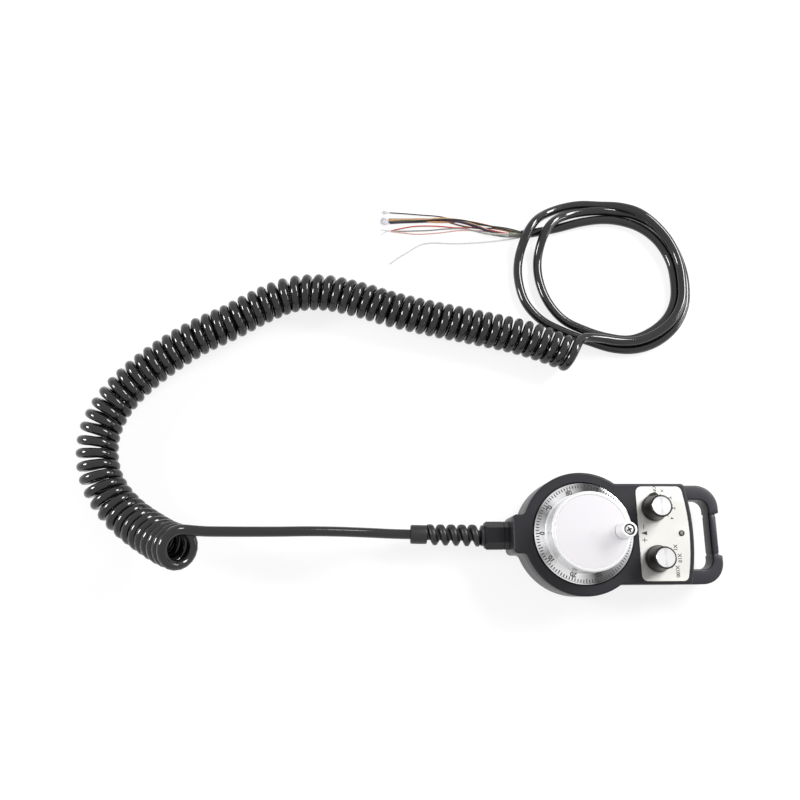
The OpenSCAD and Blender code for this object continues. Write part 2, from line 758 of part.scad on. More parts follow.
module crank_knob() {
    color([0.92, 0.92, 0.92]) from_wheel(crank_offset, 0, crank_z) difference() {
        rotate_extrude() polygon([
            [0, 0], [crank_foot_r - 0.5, 0], [crank_foot_r, 0.5], [crank_foot_r, 1.4],
            [crank_top_r + 0.5, 3], [crank_top_r, crank_h - 0.7],
            [crank_top_r - 0.6, crank_h], [0, crank_h]
        ]);
        translate([0, 0, -1]) cylinder(r = crank_bore_r, h = crank_h + 2);
        translate([0, 0, crank_h - crank_recess_d]) cylinder(r = crank_recess_r, h = 5);
    }
}

// ---- selector switches ------------------------------------------------------

module switch_body(positions) {
    difference() {
        union() {
            translate([0, 0, plate_z - switch_h]) cylinder(r = switch_r, h = switch_h);
            translate([0, 0, plate_z - 1]) cylinder(r = bushing_r, h = plate_t + label_t + 4.4);
            translate([0, 0, plate_z - switch_h - 3]) ring_of(2 * positions, switch_r - 3)
                translate([-0.3, -0.8, 0]) cube([0.6, 1.6, 3.5]);
        }
        translate([0, 0, stem_foot_z - air]) cylinder(r = stem_r + running, h = 2 * body_h);
    }
}

module switch_nut() {
    difference() {
        cylinder(r = 6 / cos(30), h = 2.2, $fn = 6);
        translate([0, 0, -1]) cylinder(r = bushing_r + seat, h = 5);
    }
}

module switch_stem() {
    translate([0, 0, stem_foot_z]) cylinder(r = stem_r, h = stem_top_z - stem_foot_z);
}

// A tapered knob with a hollow foot, a pointer nose and a seat for its cap
module selector_knob(pointing) {
    h = knob_top_z - knob_z;
    difference() {
        union() {
            rotate_extrude() polygon([
                [0, 0], [knob_foot_r - 0.3, 0], [knob_foot_r, 0.3], [knob_foot_r, 2.6],
                [knob_foot_r - 0.6, 3.4], [knob_top_r + 0.1, h - 0.6], [knob_top_r - 0.4, h], [0, h]
            ]);
            rotate(pointing) linear_extrude(3.2) polygon([
                [knob_foot_r - 2, -3.4], [knob_foot_r + knob_nose, -1.6],
                [knob_foot_r + knob_nose, 1.6], [knob_foot_r - 2, 3.4]
            ]);
        }
        translate([0, 0, -1]) cylinder(r = knob_hollow_r, h = knob_hollow_d + 1);
        translate([0, 0, -1]) cylinder(r = stem_r + seat, h = stem_top_z - knob_z + 1.1);
        translate([0, 0, h - 0.8]) cylinder(r = cap_r, h = 2);
    }
}

module knob_cap() {
    translate([0, 0, knob_top_z - 0.8]) cylinder(r = cap_r - seat, h = 0.9);
}

module axis_switch() {
    color([0.15, 0.15, 0.15]) from_wheel(switch_x, switch_y) switch_body(axis_positions);
}

module axis_switch_nut() {
    color([0.75, 0.75, 0.75]) from_wheel(switch_x, switch_y, label_z) switch_nut();
}

module axis_stem() {
    color([0.7, 0.7, 0.7]) from_wheel(switch_x, switch_y) switch_stem();
}

module axis_knob() {
    color([0.1, 0.1, 0.1]) from_wheel(switch_x, switch_y, knob_z) selector_knob(axis_rest);
}

module axis_cap() {
    color([0.85, 0.85, 0.86]) from_wheel(switch_x, switch_y) knob_cap();
}

module multiplier_switch() {
    color([0.15, 0.15, 0.15]) from_wheel(switch_x, -switch_y) switch_body(multiplier_positions);
}

module multiplier_switch_nut() {
    color([0.75, 0.75, 0.75]) from_wheel(switch_x, -switch_y, label_z) switch_nut();
}

module multiplier_stem() {
    color([0.7, 0.7, 0.7]) from_wheel(switch_x, -switch_y) switch_stem();
}

module multiplier_knob() {
    color([0.1, 0.1, 0.1]) from_wheel(switch_x, -switch_y, knob_z)
        selector_knob(multiplier_rest);
}

module multiplier_cap() {
    color([0.85, 0.85, 0.86]) from_wheel(switch_x, -switch_y) knob_cap();
}

// ---- wiring inside ----------------------------------------------------------

module terminal_board() {
    color([0.1, 0.35, 0.2]) from_wheel(z = terminal_z) difference() {
        translate([terminal_x - terminal_len / 2, -terminal_w / 2, 0])
            cube([terminal_len, terminal_w, board_t]);
        for (p = terminal_holes) translate([p[0], p[1], -1]) cylinder(r = 1.35, h = 4);
    }
}

module board_screws() {
    color([0.75, 0.75, 0.75]) from_wheel(z = terminal_z + board_t) for (p = terminal_holes)
        translate(p) pan_screw(1.15, 2.1, 1.3, 6);
}

module terminal_blocks() {
    color([0.85, 0.86, 0.84]) from_wheel(z = terminal_z + board_t) for (s = [-1, 1])
        translate([terminal_x - 6, s * 6 - 4, 0]) difference() {
            cube([12, 8, 4]);
            for (i = [0 : 2]) translate([2 + 4 * i, 4, 1]) cylinder(r = 1.2, h = 5);
        }
}

// ---- gland and cord ---------------------------------------------------------

// Lies along -X from the neck's end wall, on the gland's axis
module on_gland(x) {
    translate([wheel_x + x, 0, gland_z]) rotate([0, -90, 0]) children();
}

module gland_body() {
    stub = cap_nut_len - 7;
    color([0.12, 0.12, 0.12]) on_gland(-neck_reach) difference() {
        union() {
            rotate(30) cylinder(r = gland_hex_r, h = collar_len, $fn = 6);
            translate([0, 0, -gland_thread_len]) cylinder(r = gland_r, h = gland_thread_len + 1);
            cylinder(r = gland_r - 0.5, h = collar_len + stub);
        }
        translate([0, 0, -gland_thread_len - 1]) cylinder(r = cord_r + 0.3, h = 60);
        translate([0, 0, collar_len]) cylinder(r = seal_r, h = stub + 1);
    }
}

module gland_locknut() {
    color([0.12, 0.12, 0.12]) on_gland(-neck_reach + wall + locknut_t) difference() {
        rotate(30) cylinder(r = gland_hex_r, h = locknut_t, $fn = 6);
        translate([0, 0, -1]) cylinder(r = gland_r + seat, h = locknut_t + 2);
    }
}

module gland_seal() {
    color([0.05, 0.05, 0.05]) on_gland(-neck_reach - collar_len)
        tube(seal_r - seat, cord_r + seat, cap_nut_len - 7);
}

module gland_cap_nut() {
    color([0.12, 0.12, 0.12]) on_gland(-neck_reach - collar_len) difference() {
        intersection() {
            rotate(30) cylinder(r = gland_hex_r, h = cap_nut_len, $fn = 6);
            cylinder(r1 = gland_hex_r + 12, r2 = gland_hex_r - 1.8, h = cap_nut_len + 0.01);
        }
        translate([0, 0, -1]) cylinder(r = cord_r + 0.3, h = 60);
        translate([0, 0, -1]) cylinder(r = gland_r - 0.5 + seat, h = cap_nut_len - 6 + 0.5);
    }
}

// One rib that winds round the cord, thinning towards the sleeve at its end
module strain_relief() {
    sleeve_len = 14;
    foot_len = 3;
    rib_w = 2;
    rib_in = cord_r + 0.9;
    pitch = (relief_len - sleeve_len - foot_len) / relief_turns;
    steps = 14;
    n = relief_turns * steps;
    rib_tip_r = relief_r - 0.7;
    sleeve_r = relief_r - 1.5;
    path = [for (i = [0 : n]) [foot_len + pitch * i / steps, 360 * i / steps,
                               relief_r + (rib_tip_r - relief_r) * i / n]];
    ring = [for (p = path, q = [[-1, 0], [-0.6, 1], [0.6, 1], [1, 0]])
        let (r = q[1] == 0 ? rib_in : p[2], z = p[0] + q[0] * rib_w)
            [r * cos(p[1]), r * sin(p[1]), z]];
    color([0.1, 0.1, 0.1]) on_gland(-gland_reach) {
        tube(relief_r - 0.6, cord_r + 0.3, foot_len);
        polyhedron(
            points = ring,
            faces = concat(
                [[3, 2, 1, 0]],
                [for (i = [0 : n - 1], k = [0 : 3])
                    let (a = 4 * i + k, b = 4 * i + (k + 1) % 4) [b, b + 4, a + 4, a]],
                [[4 * n, 4 * n + 1, 4 * n + 2, 4 * n + 3]]
            ),
            convexity = 10
        );
        translate([0, 0, relief_len - sleeve_len]) tube(sleeve_r, cord_r + 0.3, sleeve_len);
    }
}

module inner_cord() {
    color([0.08, 0.08, 0.08]) on_gland(-gland_reach + 45)
        cylinder(r = cord_r, h = 45);
}

module cord_clamp() {
    color([0.3, 0.3, 0.3]) from_wheel(-42, 0, gland_z) difference() {
        union() {
            translate([0, -13, 0.1]) cube([6, 26, 2]);
            translate([0, 0, 0]) rotate([0, 90, 0]) cylinder(r = cord_r + 1.8, h = 6);
        }
        translate([-1, 0, 0]) rotate([0, 90, 0]) cylinder(r = cord_r + seat, h = 8);
        translate([-1, -8, -20]) cube([8, 16, 20]);
        for (s = [-1, 1]) translate([3, s * 10, -1]) cylinder(r = 1.35, h = 5);
    }
}

module clamp_screws() {
    color([0.75, 0.75, 0.75]) for (s = [-1, 1]) from_wheel(-39, s * 10, gland_z + 2.1)
        pan_screw(1.15, 2.1, 1.3, 8);
}

// Lane of a conductor and the hole of its terminal, one side
function core_path(side, i) =
    let (lane = side * (3.2 - 1.2 * i), hole_x = terminal_x - 4 + 4 * i, hole_y = side * 6) [
        [core_x + seat, lane, gland_z],
        [core_down_x - 0.6, lane, gland_z - 0.3],
        [core_down_x - 0.1, lane, gland_z - 1.2],
        [core_down_x, lane, core_low_z + 2],
        [core_down_x + 0.6, lane, core_low_z + 0.6],
        [core_down_x + 2, lane, core_low_z],
        [core_up_x - 2, lane, core_low_z],
        [core_up_x - 0.6, lane, core_low_z + 0.6],
        [core_up_x - 0.1, lane, core_low_z + 2],
        [core_up_x, lane, core_top_z - 2],
        [core_up_x + 0.6, lane, core_top_z - 0.6],
        [core_up_x + 2, lane, core_top_z],
        [hole_x - 4, lane, core_top_z],
        [hole_x - 1.6, hole_y - side * 0.5, core_top_z],
        [hole_x - 0.7, hole_y, core_top_z - 0.2],
        [hole_x - 0.1, hole_y, core_top_z - 1.2],
        [hole_x, hole_y, core_floor_z]
    ];

module core_wires() {
    color([0.75, 0.45, 0.2]) from_wheel() for (side = [-1, 1], i = [0 : 2])
        sweep_tube(core_path(side, i), core_r, 6);
}

module cord_lead() {
    color([0.08, 0.08, 0.08]) sweep_tube(lead_points, cord_r);
}

module cord_coil() {
    color([0.08, 0.08, 0.08]) sweep_tube(coil_points, coil_d / 2, 12);
}

module cord_tail() {
    color([0.08, 0.08, 0.08]) sweep_tube(tail_points, cord_r);
}

module stripped_wires() {
    color([0.75, 0.45, 0.2]) for (i = [0 : len(wire_routes) - 1])
        sweep_tube(wire_routes[i], wire_radii[i], 6);
}

back_casing();
front_cover();
cover_seal();
housing_screws();
label_plate();
lamp_bezel();
lamp();
encoder_body();
encoder_cap();
encoder_screws();
front_bearing();
rear_bearing();
encoder_board();
encoder_sensor();
encoder_shaft();
code_disc();
handwheel();
wheel_face();
hub_screw();
crank_washer();
crank_screw();
crank_knob();
axis_switch();
axis_switch_nut();
axis_stem();
axis_knob();
axis_cap();
multiplier_switch();
multiplier_switch_nut();
multiplier_stem();
multiplier_knob();
multiplier_cap();
terminal_board();
board_screws();
terminal_blocks();
gland_body();
gland_locknut();
gland_seal();
gland_cap_nut();
strain_relief();
inner_cord();
cord_clamp();
clamp_screws();
core_wires();
cord_lead();
cord_coil();
cord_tail();
stripped_wires();
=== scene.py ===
"""Looks of a handheld pulse generator with its handwheel, switches and coiled cord."""

import json
import math
from contextlib import contextmanager

import bmesh
import bpy
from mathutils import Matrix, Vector


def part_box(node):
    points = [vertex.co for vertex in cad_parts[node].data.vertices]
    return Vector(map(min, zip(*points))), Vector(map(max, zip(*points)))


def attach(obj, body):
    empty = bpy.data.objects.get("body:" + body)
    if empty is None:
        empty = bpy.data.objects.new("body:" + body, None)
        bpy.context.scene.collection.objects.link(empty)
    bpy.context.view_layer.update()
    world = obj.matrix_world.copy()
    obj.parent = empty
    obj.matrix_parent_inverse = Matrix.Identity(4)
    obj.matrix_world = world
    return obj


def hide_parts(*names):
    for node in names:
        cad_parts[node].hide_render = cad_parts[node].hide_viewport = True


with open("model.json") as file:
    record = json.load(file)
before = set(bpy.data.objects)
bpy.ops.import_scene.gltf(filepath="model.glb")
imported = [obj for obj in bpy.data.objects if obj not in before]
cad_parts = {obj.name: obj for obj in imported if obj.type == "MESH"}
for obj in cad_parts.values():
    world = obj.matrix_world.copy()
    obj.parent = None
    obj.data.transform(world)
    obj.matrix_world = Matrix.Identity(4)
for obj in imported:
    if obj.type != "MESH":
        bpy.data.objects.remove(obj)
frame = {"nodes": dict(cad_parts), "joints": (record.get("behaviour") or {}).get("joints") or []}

bl_info = {
    "name": "Pulse Generator Handwheel",
    "version": (1, 0, 0),
    "blender": (4, 5, 0),
    "location": "View3D > Sidebar > Handwheel",
    "description": "Builds the looks of a pulse generator handwheel round its frame",
    "category": "Object",
}

# Lengths are in millimetres up to the point where they enter Blender
MM = 0.001


def extent(node):
    """Lowest and highest corner of a frame node."""
    low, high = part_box(node)
    return low / MM, high / MM


def joint_at(name):
    """Where a joint of the frame turns."""
    return next(Vector(j["pos_m"]) / MM for j in frame["joints"] if j["name"] == name)


DIAL = joint_at("wheel_turn")
CRANK = joint_at("crank_spin")
AXIS = joint_at("axis_select")
MULTIPLIER = joint_at("multiplier_select")
CASING_LOW, CASING_HIGH = extent("back_casing")
COVER_LOW, COVER_HIGH = extent("front_cover")
WHEEL_LOW, WHEEL_HIGH = extent("handwheel")
FACE_LOW, FACE_HIGH = extent("wheel_face")
KNOB_LOW, KNOB_HIGH = extent("multiplier_knob")
LABEL_LOW, LABEL_HIGH = extent("label_plate")
NUT_LOW, NUT_HIGH = extent("gland_cap_nut")
RELIEF_LOW, RELIEF_HIGH = extent("strain_relief")
GLAND_Z = (NUT_LOW.z + NUT_HIGH.z) / 2
SPLIT_Z = CASING_HIGH.z
FACE_Z = COVER_HIGH.z
RING_R = (WHEEL_HIGH.x - WHEEL_LOW.x) / 2
FACE_R = (FACE_HIGH.x - FACE_LOW.x) / 2
PRINT_DEPTH = 0.015
CROSS_TURNS = (25, 115)

# The cord's route, within a few millimetres of the frame's, and the radius of the frame's coil
CAD_COIL_RADIUS = 13
LEAD = [
    (-97, 0, 17), (-112, 0.3, 17), (-127, 0.6, 17), (-142, 0.95, 17), (-157, 1.25, 17),
    (-172, 1.6, 18), (-190, 2.2, 21.5), (-214, 2.6, 28.5), (-237, 2.4, 36), (-260, 1.6, 43.5),
    (-283, 1, 51), (-301, 0.7, 56.5), (-315, 0.6, 60.5),
]
COIL = [
    (-331.5, -11.8, 62), (-339, -9.5, 53), (-347.5, -6.2, 44), (-357, -1.2, 35.5), (-368, 5, 28),
    (-379, 12.3, 22), (-388.5, 19.9, 18.5), (-399, 31.5, 17.2), (-407.5, 46, 17.2),
    (-412.5, 65, 17.2), (-411.5, 87, 17.2), (-402, 110, 17.2), (-385, 131, 17.2),
    (-362, 151, 17.2), (-337, 168, 17.2), (-310, 182, 17.2), (-284, 197, 17.2),
    (-258, 208, 17.2), (-230, 210, 17.2), (-200, 204, 17.2), (-170, 195, 17.2),
    (-135, 187, 17.2), (-100, 180, 17.2), (-67, 173, 17.2), (-43, 166, 17.2), (-14.5, 155.2, 17.2),
]
TAIL = [
    (-5, 169.5, 21), (12, 171, 15.5), (30, 169.5, 12.5), (48, 171, 11.5), (66, 179, 11.2),
    (81, 192, 11.2), (90, 209, 11.2), (92, 228, 11.2), (90, 248, 11.5), (82.5, 267, 12.5),
    (70, 283.5, 12.8), (56, 295, 12.3), (40, 301.5, 9), (23, 304.5, 4.5), (5, 305, 4),
    (-12.5, 301.5, 4), (-29.5, 293.5, 6.5), (-41, 282.5, 12.5), (-49.5, 268, 12), (-55, 250, 5),
    (-56, 230, 4), (-50.5, 208, 4), (-36.5, 191, 4), (-16, 180, 4), (5, 172, 4), (26, 165.5, 4),
    (47, 165, 4), (67, 172, 4), (84, 186, 4), (94.5, 205, 4), (97.5, 225, 4), (95.5, 246, 4),
    (88, 267, 4), (75, 284, 4), (57, 294.5, 4), (40, 297.5, 5), (23, 298, 6.5), (7, 296.5, 6.5),
    (-9, 292, 8.5), (-23.5, 283, 13), (-33, 269, 12), (-37.5, 250, 4), (-37, 229, 4),
    (-30, 208.5, 4), (-17, 192, 4), (1, 182.5, 4), (21, 176, 4), (42, 174, 4), (61, 181, 4),
    (77, 194, 4), (86, 211, 4), (88, 230, 4), (85.5, 250, 4), (76.5, 268.5, 4), (62.5, 281.5, 4),
    (45, 288.5, 4), (26, 290.5, 4), (5, 287.5, 4), (-18, 281, 4), (-36, 277, 4), (-51, 274, 4),
]


# ---- settings ----


def length(name, description, default):
    """A length setting, in metres for Blender and in millimetres here."""
    return bpy.props.FloatProperty(
        name=name, description=description, default=default * MM, unit="LENGTH", precision=4
    )


def colour(name, description, default):
    """A colour setting."""
    return bpy.props.FloatVectorProperty(
        name=name, description=description, default=default, subtype="COLOR", size=3, min=0, max=1
    )


def fraction(name, description, default):
    """A setting between nothing and all."""
    return bpy.props.FloatProperty(
        name=name, description=description, default=default, min=0, max=1, subtype="FACTOR"
    )


def count(name, description, default):
    """A whole number setting."""
    return bpy.props.IntProperty(name=name, description=description, default=default, min=1)


class HousingSettings(bpy.types.PropertyGroup):
    """Sizes and colours of the moulded housing."""

    panel_width: length("Panel width", "Width of the housing at its switches", 80)
    panel_end: length("Panel end radius", "Radius of the panel's curved end", 170)
    panel_corner: length("Panel corner", "Corner radius of the panel's end", 3)
    neck_width: length("Neck width", "Width of the neck at the cord", 31)
    fillet: length("Fillet", "Radius between the round part and the straight sides", 4)
    wall: length("Wall", "Thickness of the moulded walls", 2.5)
    face_edge: length("Face edge", "Rounding of the cover's edge", 1.9)
    back_edge: length("Back edge", "Rounding of the casing's back edge", 2)
    casing_colour: colour("Casing colour", "Plastic of the casing", (0.0235, 0.0230, 0.0300))
    cover_colour: colour("Cover colour", "Plastic of the cover", (0.0180, 0.0165, 0.0205))


class HandleSettings(bpy.types.PropertyGroup):
    """Sizes of the carrying loop."""

    thickness: length("Thickness", "Height of the loop's bar", 16)
    arm: length("Arm width", "Width of the loop's two arms", 12)
    bar: length("Bar width", "Width of the loop's end bar", 8.5)
    corner: length("Corner", "Outside corner radius", 18)
    inner_corner: length("Inner corner", "Corner radius of the opening", 8)
    edge: length("Edge", "Rounding of the bar", 1.5)
    notch: length("Notch", "Length of the bar's slimmer middle", 32)
    notch_depth: length("Notch depth", "How much slimmer the middle is", 2.3)


class LabelSettings(bpy.types.PropertyGroup):
    """Sizes and colours of the printed plate."""

    margin: length("Margin", "Distance from the cover's sides", 2.5)
    end_margin: length("End margin", "Distance from the cover's curved end", 4)
    corner: length("Corner", "Corner radius of the plate", 4.8)
    position_size: length("Axis letters", "Letter height of the axis positions", 3.5)
    factor_size: length("Step letters", "Letter height of the step factors", 4.1)
    plate_colour: colour("Plate colour", "Face of the plate", (0.89, 0.875, 0.835))
    ink_colour: colour("Ink colour", "Printed marks", (0.03, 0.03, 0.03))


class WheelSettings(bpy.types.PropertyGroup):
    """Sizes and colours of the handwheel."""

    divisions: count("Divisions", "Marks round the graduated ring", 100)
    minor_mark: length("Minor mark", "Length of a single mark", 2.3)
    middle_mark: length("Middle mark", "Length of every fifth mark", 3)
    major_mark: length("Major mark", "Length of every tenth mark", 3.6)
    mark_width: length("Mark width", "Width of a mark", 0.8)
    numeral_size: length("Numerals", "Height of the numerals", 5.2)
    numeral_radius: length("Numeral radius", "Radius of the middle of the numerals", 33.4)
    lip: length("Lip", "Radius of the wheel's lip", 31)
    hollow: length("Side hollow", "How far the side is drawn in", 0.9)
    metal: colour("Aluminium", "Turned aluminium", (0.86, 0.86, 0.87))
    face: colour("Face", "Polished face", (0.84, 0.815, 0.85))


class SwitchSettings(bpy.types.PropertyGroup):
    """Sizes and colours of the two selector switches."""

    foot: length("Foot radius", "Radius of the knob's foot", 10.5)
    top: length("Top radius", "Radius of the knob's top", 8.5)
    cap: length("Cap radius", "Radius of the metal cap", 7.45)
    knob_colour: colour("Knob colour", "Plastic of the knobs", (0.0095, 0.0068, 0.0056))
    cap_colour: colour("Cap colour", "Metal of the caps", (0.77, 0.765, 0.775))


class CordSettings(bpy.types.PropertyGroup):
    """Sizes and colours of the cord."""

    diameter: length("Diameter", "Diameter of the cord", 8)
    coil_radius: length("Coil radius", "Radius of the coil, to the middle of the cord", 12)
    raised_radius: length("Raised end radius", "Coil radius at its raised end", 13.6)
    turns: count("Turns", "Whole turns of the coil", 67)
    points: count("Points", "Points in each turn", 20)
    jacket: colour("Jacket", "Glossy jacket of the cord", (0.0058, 0.0058, 0.0064))
    rubber: colour("Rubber", "Rubber of the strain relief", (0.0060, 0.0060, 0.0070))


class StageSettings(bpy.types.PropertyGroup):
    """Floor and light."""

    floor: colour("Floor", "Colour of the floor", (0.93, 0.93, 0.93))
    glow: fraction("Glow", "How far the floor's shadows are lifted towards white", 0.78)
    key: bpy.props.FloatProperty(
        name="Key lamp", description="Power of the key lamp", default=23, unit="POWER")
    fill: bpy.props.FloatProperty(
        name="Fill lamp", description="Power of the fill lamp", default=14, unit="POWER")
    rim: bpy.props.FloatProperty(
        name="Rim lamp", description="Power of the low rim lamp", default=3.6, unit="POWER")
    overhead: fraction("Overhead", "Brightness of the soft panel overhead", 1.0)
    ambient: fraction("Ambient", "Brightness of the rest of the studio", 0.07)


# ---- finishes ----


class Value:
    """One socket of a finish; arithmetic on it adds the Math nodes it stands for."""

    def __init__(self, finish, socket):
        self.finish = finish
        self.socket = socket

    def maths(self, operation, *others):
        return self.finish.maths(operation, self, *others)

    def __add__(self, other):
        return self.maths("ADD", other)

    __radd__ = __add__

    def __mul__(self, other):
        return self.maths("MULTIPLY", other)

    __rmul__ = __mul__

    def __truediv__(self, other):
        return self.maths("DIVIDE", other)

    def __pow__(self, other):
        return self.maths("POWER", other)


class Finish:
    """A material, or the studio round it, whose nodes all come from one method."""

    def __init__(self, name, kind="materials"):
        self.made = getattr(bpy.data, kind).new(name)
        self.made.use_nodes = True
        self.tree = self.made.node_tree
        self.tree.nodes.clear()
        self.place = self.node("ShaderNodeTexCoord", output="Object")

    def node(self, kind, settings=None, inputs=None, output=0):
        """Adds a node, sets it up, fills its sockets and returns one output."""
        made = self.tree.nodes.new(kind)
        for key, value in (settings or {}).items():
            if key == "stops":
                ramp = made.color_ramp
                while len(ramp.elements) < len(value):
                    ramp.elements.new(0.5)
                for element, (position, grey) in zip(ramp.elements, value):
                    element.position = position
                    element.color = (grey, grey, grey, 1)
            else:
                setattr(made, key, value)
        for key, value in (inputs or {}).items():
            if isinstance(value, Value):
                self.tree.links.new(value.socket, made.inputs[key])
            else:
                made.inputs[key].default_value = value
        return Value(self, made.outputs[output]) if len(made.outputs) else None

    def maths(self, operation, *values):
        return self.node("ShaderNodeMath", {"operation": operation}, dict(enumerate(values)))

    def noise(self, scale, detail=2, place=None):
        """Even noise over the piece, from 0 to 1, with scale features in a metre."""
        return self.node(
            "ShaderNodeTexNoise", {}, {"Vector": place or self.place, "Scale": scale, "Detail": detail}
        )

    def stretched(self, *scale):
        """The piece's own coordinates, stretched."""
        return self.node("ShaderNodeMapping", {}, {"Vector": self.place, "Scale": scale})

    def round(self, middle):
        """Distance from an upright axis, and the turn round it from 0 to 1."""
        moved = self.node(
            "ShaderNodeMapping", {}, {"Vector": self.place, "Location": (-middle.x * MM, -middle.y * MM, 0)}
        )
        x = self.node("ShaderNodeSeparateXYZ", {}, {"Vector": moved}, "X")
        y = self.node("ShaderNodeSeparateXYZ", {}, {"Vector": moved}, "Y")
        return (x * x + y * y) ** 0.5, self.maths("ARCTAN2", y, x) / (2 * math.pi) + 0.5

    def blend(self, amount, first, second):
        """A colour between two."""
        return self.node(
            "ShaderNodeMix", {"data_type": "RGBA"}, {0: amount, 6: opaque(first), 7: opaque(second)}, 2
        )

    def bump(self, height, depth):
        """A surface raised by a height from 0 to 1 over a depth in millimetres."""
        return self.node("ShaderNodeBump", {}, {"Height": height, "Strength": 1.0, "Distance": depth * MM})

    def seen(self):
        """Whether a ray shows the background: straight, mirrored or through glass."""
        seen = self.node("ShaderNodeLightPath", output="Is Camera Ray")
        for ray in ("Is Glossy Ray", "Is Transmission Ray"):
            seen = self.maths("MAXIMUM", seen, self.node("ShaderNodeLightPath", output=ray))
        return seen

    def toned(self, shade, tone, dark, light, roughness, height, depth, **more):
        """A surface whose colour varies between a darker and a lighter shade."""
        return self.surface({
            "Base Color": self.blend(tone, shaded(shade, dark), shaded(shade, light)),
            "Roughness": roughness, "Normal": self.bump(height, depth), **more})

    def surface(self, inputs):
        """Closes the finish with its shader."""
        shader = self.node("ShaderNodeBsdfPrincipled", {}, inputs)
        self.node("ShaderNodeOutputMaterial", {}, {"Surface": shader})
        return self.made


def opaque(shade):
    return shade if isinstance(shade, Value) else (*shade[:3], 1)


def shaded(shade, amount):
    """A colour made lighter or darker."""
    return tuple(min(1, c * amount) for c in shade[:3])


def moulded(name, shade, roughness=0.4, grain=0.012, spacing=1500, mottle=0.18, specular=0.5):
    """Moulded plastic with a fine spark texture."""
    finish = Finish(name)
    cloud = finish.noise(70, 3)
    grit = finish.noise(spacing, 2)
    rough = grit * 0.12 + cloud * 0.08 + (roughness - 0.1)
    return finish.toned(
        shade, cloud, 1 - mottle, 1 + mottle, rough, grit, grain, **{"Specular IOR Level": specular})


def turned_metal(
    name, shade, middle, pitch, depth, roughness, painted_sheen_stops, streak=0.1, metallic=1.0, inside=0, side=1.0
):
    """Metal faced on a lathe, with fine rings outside a radius, and a painted sheen: bright and dark bands
    of reflection painted into its colour by the turn round its axis.
    """
    finish = Finish(name)
    radius, turn = finish.round(middle)
    rings = finish.maths("SINE", radius * (2 * math.pi / (pitch * MM))) * 0.5 + 0.5
    outward = finish.node("ShaderNodeCombineXYZ", {}, {"X": radius, "Y": 0.0, "Z": 0.0})
    streaks = finish.noise(900, 2, outward)
    faced = finish.maths("GREATER_THAN", radius, inside * MM)
    # Painted sheen: a brightness for each turn round the axis, standing for the reflection that fans out
    # from the rings
    sheen = finish.node("ShaderNodeValToRGB", {"stops": painted_sheen_stops}, {"Fac": turn})
    # The colour is the radial streaks multiplied by the painted sheen, where the metal is faced
    tone = finish.node(
        "ShaderNodeMix", {"data_type": "RGBA", "blend_type": "MULTIPLY"},
        {0: faced, 6: finish.blend(streaks, shaded(shade, 1 - streak), shade), 7: sheen}, 2,
    )
    return finish.surface({
        "Base Color": tone,
        "Metallic": faced * (metallic - side) + side if inside else metallic,
        "Roughness": streaks * streak + (roughness - streak / 2),
        "Normal": finish.bump(rings * faced, depth),
    })


def brushed_metal(name, shade, roughness=0.3, scale=(300, 300, 2500)):
    """Plated or ground metal with fine scratches."""
    finish = Finish(name)
    scratches = finish.noise(1.0, 3, finish.stretched(*scale))
    cloud = finish.noise(120, 2)
    rough = scratches * 0.18 + (roughness - 0.09)
    return finish.toned(shade, cloud, 0.88, 1, rough, scratches, 0.006, Metallic=1.0)


def satin_print(name, shade, roughness=0.5, depth=0.004):
    """A printed or painted film with a faint orange peel."""
    finish = Finish(name)
    peel = finish.noise(700, 2)
    cloud = finish.noise(25, 2)
    return finish.toned(shade, cloud, 0.97, 1.02, peel * 0.1 + (roughness - 0.05), peel, depth)


def soft_rubber(name, shade, roughness=0.45):
    """Thermoplastic rubber, dull with a little bloom."""
    finish = Finish(name)
    bloom = finish.noise(180, 4)
    grit = finish.noise(1100, 2)
    return finish.toned(shade, bloom, 0.8, 1.5, bloom * 0.2 + (roughness - 0.1), grit, 0.012)


def cord_jacket(name, shade):
    """Glossy jacket with the slight waviness that coiling leaves."""
    finish = Finish(name)
    wave = finish.noise(140, 2)
    dust = finish.noise(1300, 3)
    return finish.toned(shade, dust, 1, 1.7, wave * 0.06 + dust * 0.05 + 0.05, wave, 0.05)


def insulation(name, shade):
    """Coloured plastic of a single wire."""
    finish = Finish(name)
    cloud = finish.noise(260, 2)
    return finish.toned(shade, cloud, 0.85, 1.1, cloud * 0.1 + 0.35, finish.noise(900, 1), 0.006)


def board_laminate(name, shade):
    """Circuit board with its copper tracks under the lacquer."""
    finish = Finish(name)
    weave = finish.noise(1.0, 1, finish.stretched(500, 60, 60))
    tracks = finish.maths("GREATER_THAN", weave, 0.56)
    return finish.toned(shade, tracks, 1, 1.8, tracks * 0.1 + 0.3, tracks, 0.02)


def lens_plastic(name, shade):
    """Translucent lens over an unlit lamp."""
    finish = Finish(name)
    cloud = finish.noise(500, 2)
    return finish.toned(shade, cloud, 0.75, 1.15, cloud * 0.1 + 0.08, cloud, 0.01)


# Painted sheen, multiplied into the colour of turned metal by the turn round its axis: bright and dark
# bands of reflection on the ring
RING_PAINTED_SHEEN = [
    (0.00, 1.0), (0.035, 1.0), (0.075, 0.4), (0.13, 0.93), (0.22, 1.0), (0.285, 0.10),
    (0.34, 0.20), (0.44, 0.85), (0.52, 1.0), (0.655, 0.8), (0.69, 0.05), (0.74, 0.08),
    (0.80, 0.7), (0.86, 0.95), (0.925, 0.28), (0.965, 0.6), (1.0, 1.0),
]
# Painted sheen of the caps: a soft grey streak of reflection across them
CAP_PAINTED_SHEEN = [
    (0.0, 1.0), (0.19, 0.98), (0.25, 0.78), (0.31, 0.98), (0.5, 1.0), (0.69, 0.98),
    (0.75, 0.82), (0.81, 0.98), (1.0, 1.0),
]
# A faint painted sheen for the plainer turned faces
PLAIN_PAINTED_SHEEN = [(0.0, 1.0), (0.3, 0.94), (0.6, 1.0), (1.0, 1.0)]


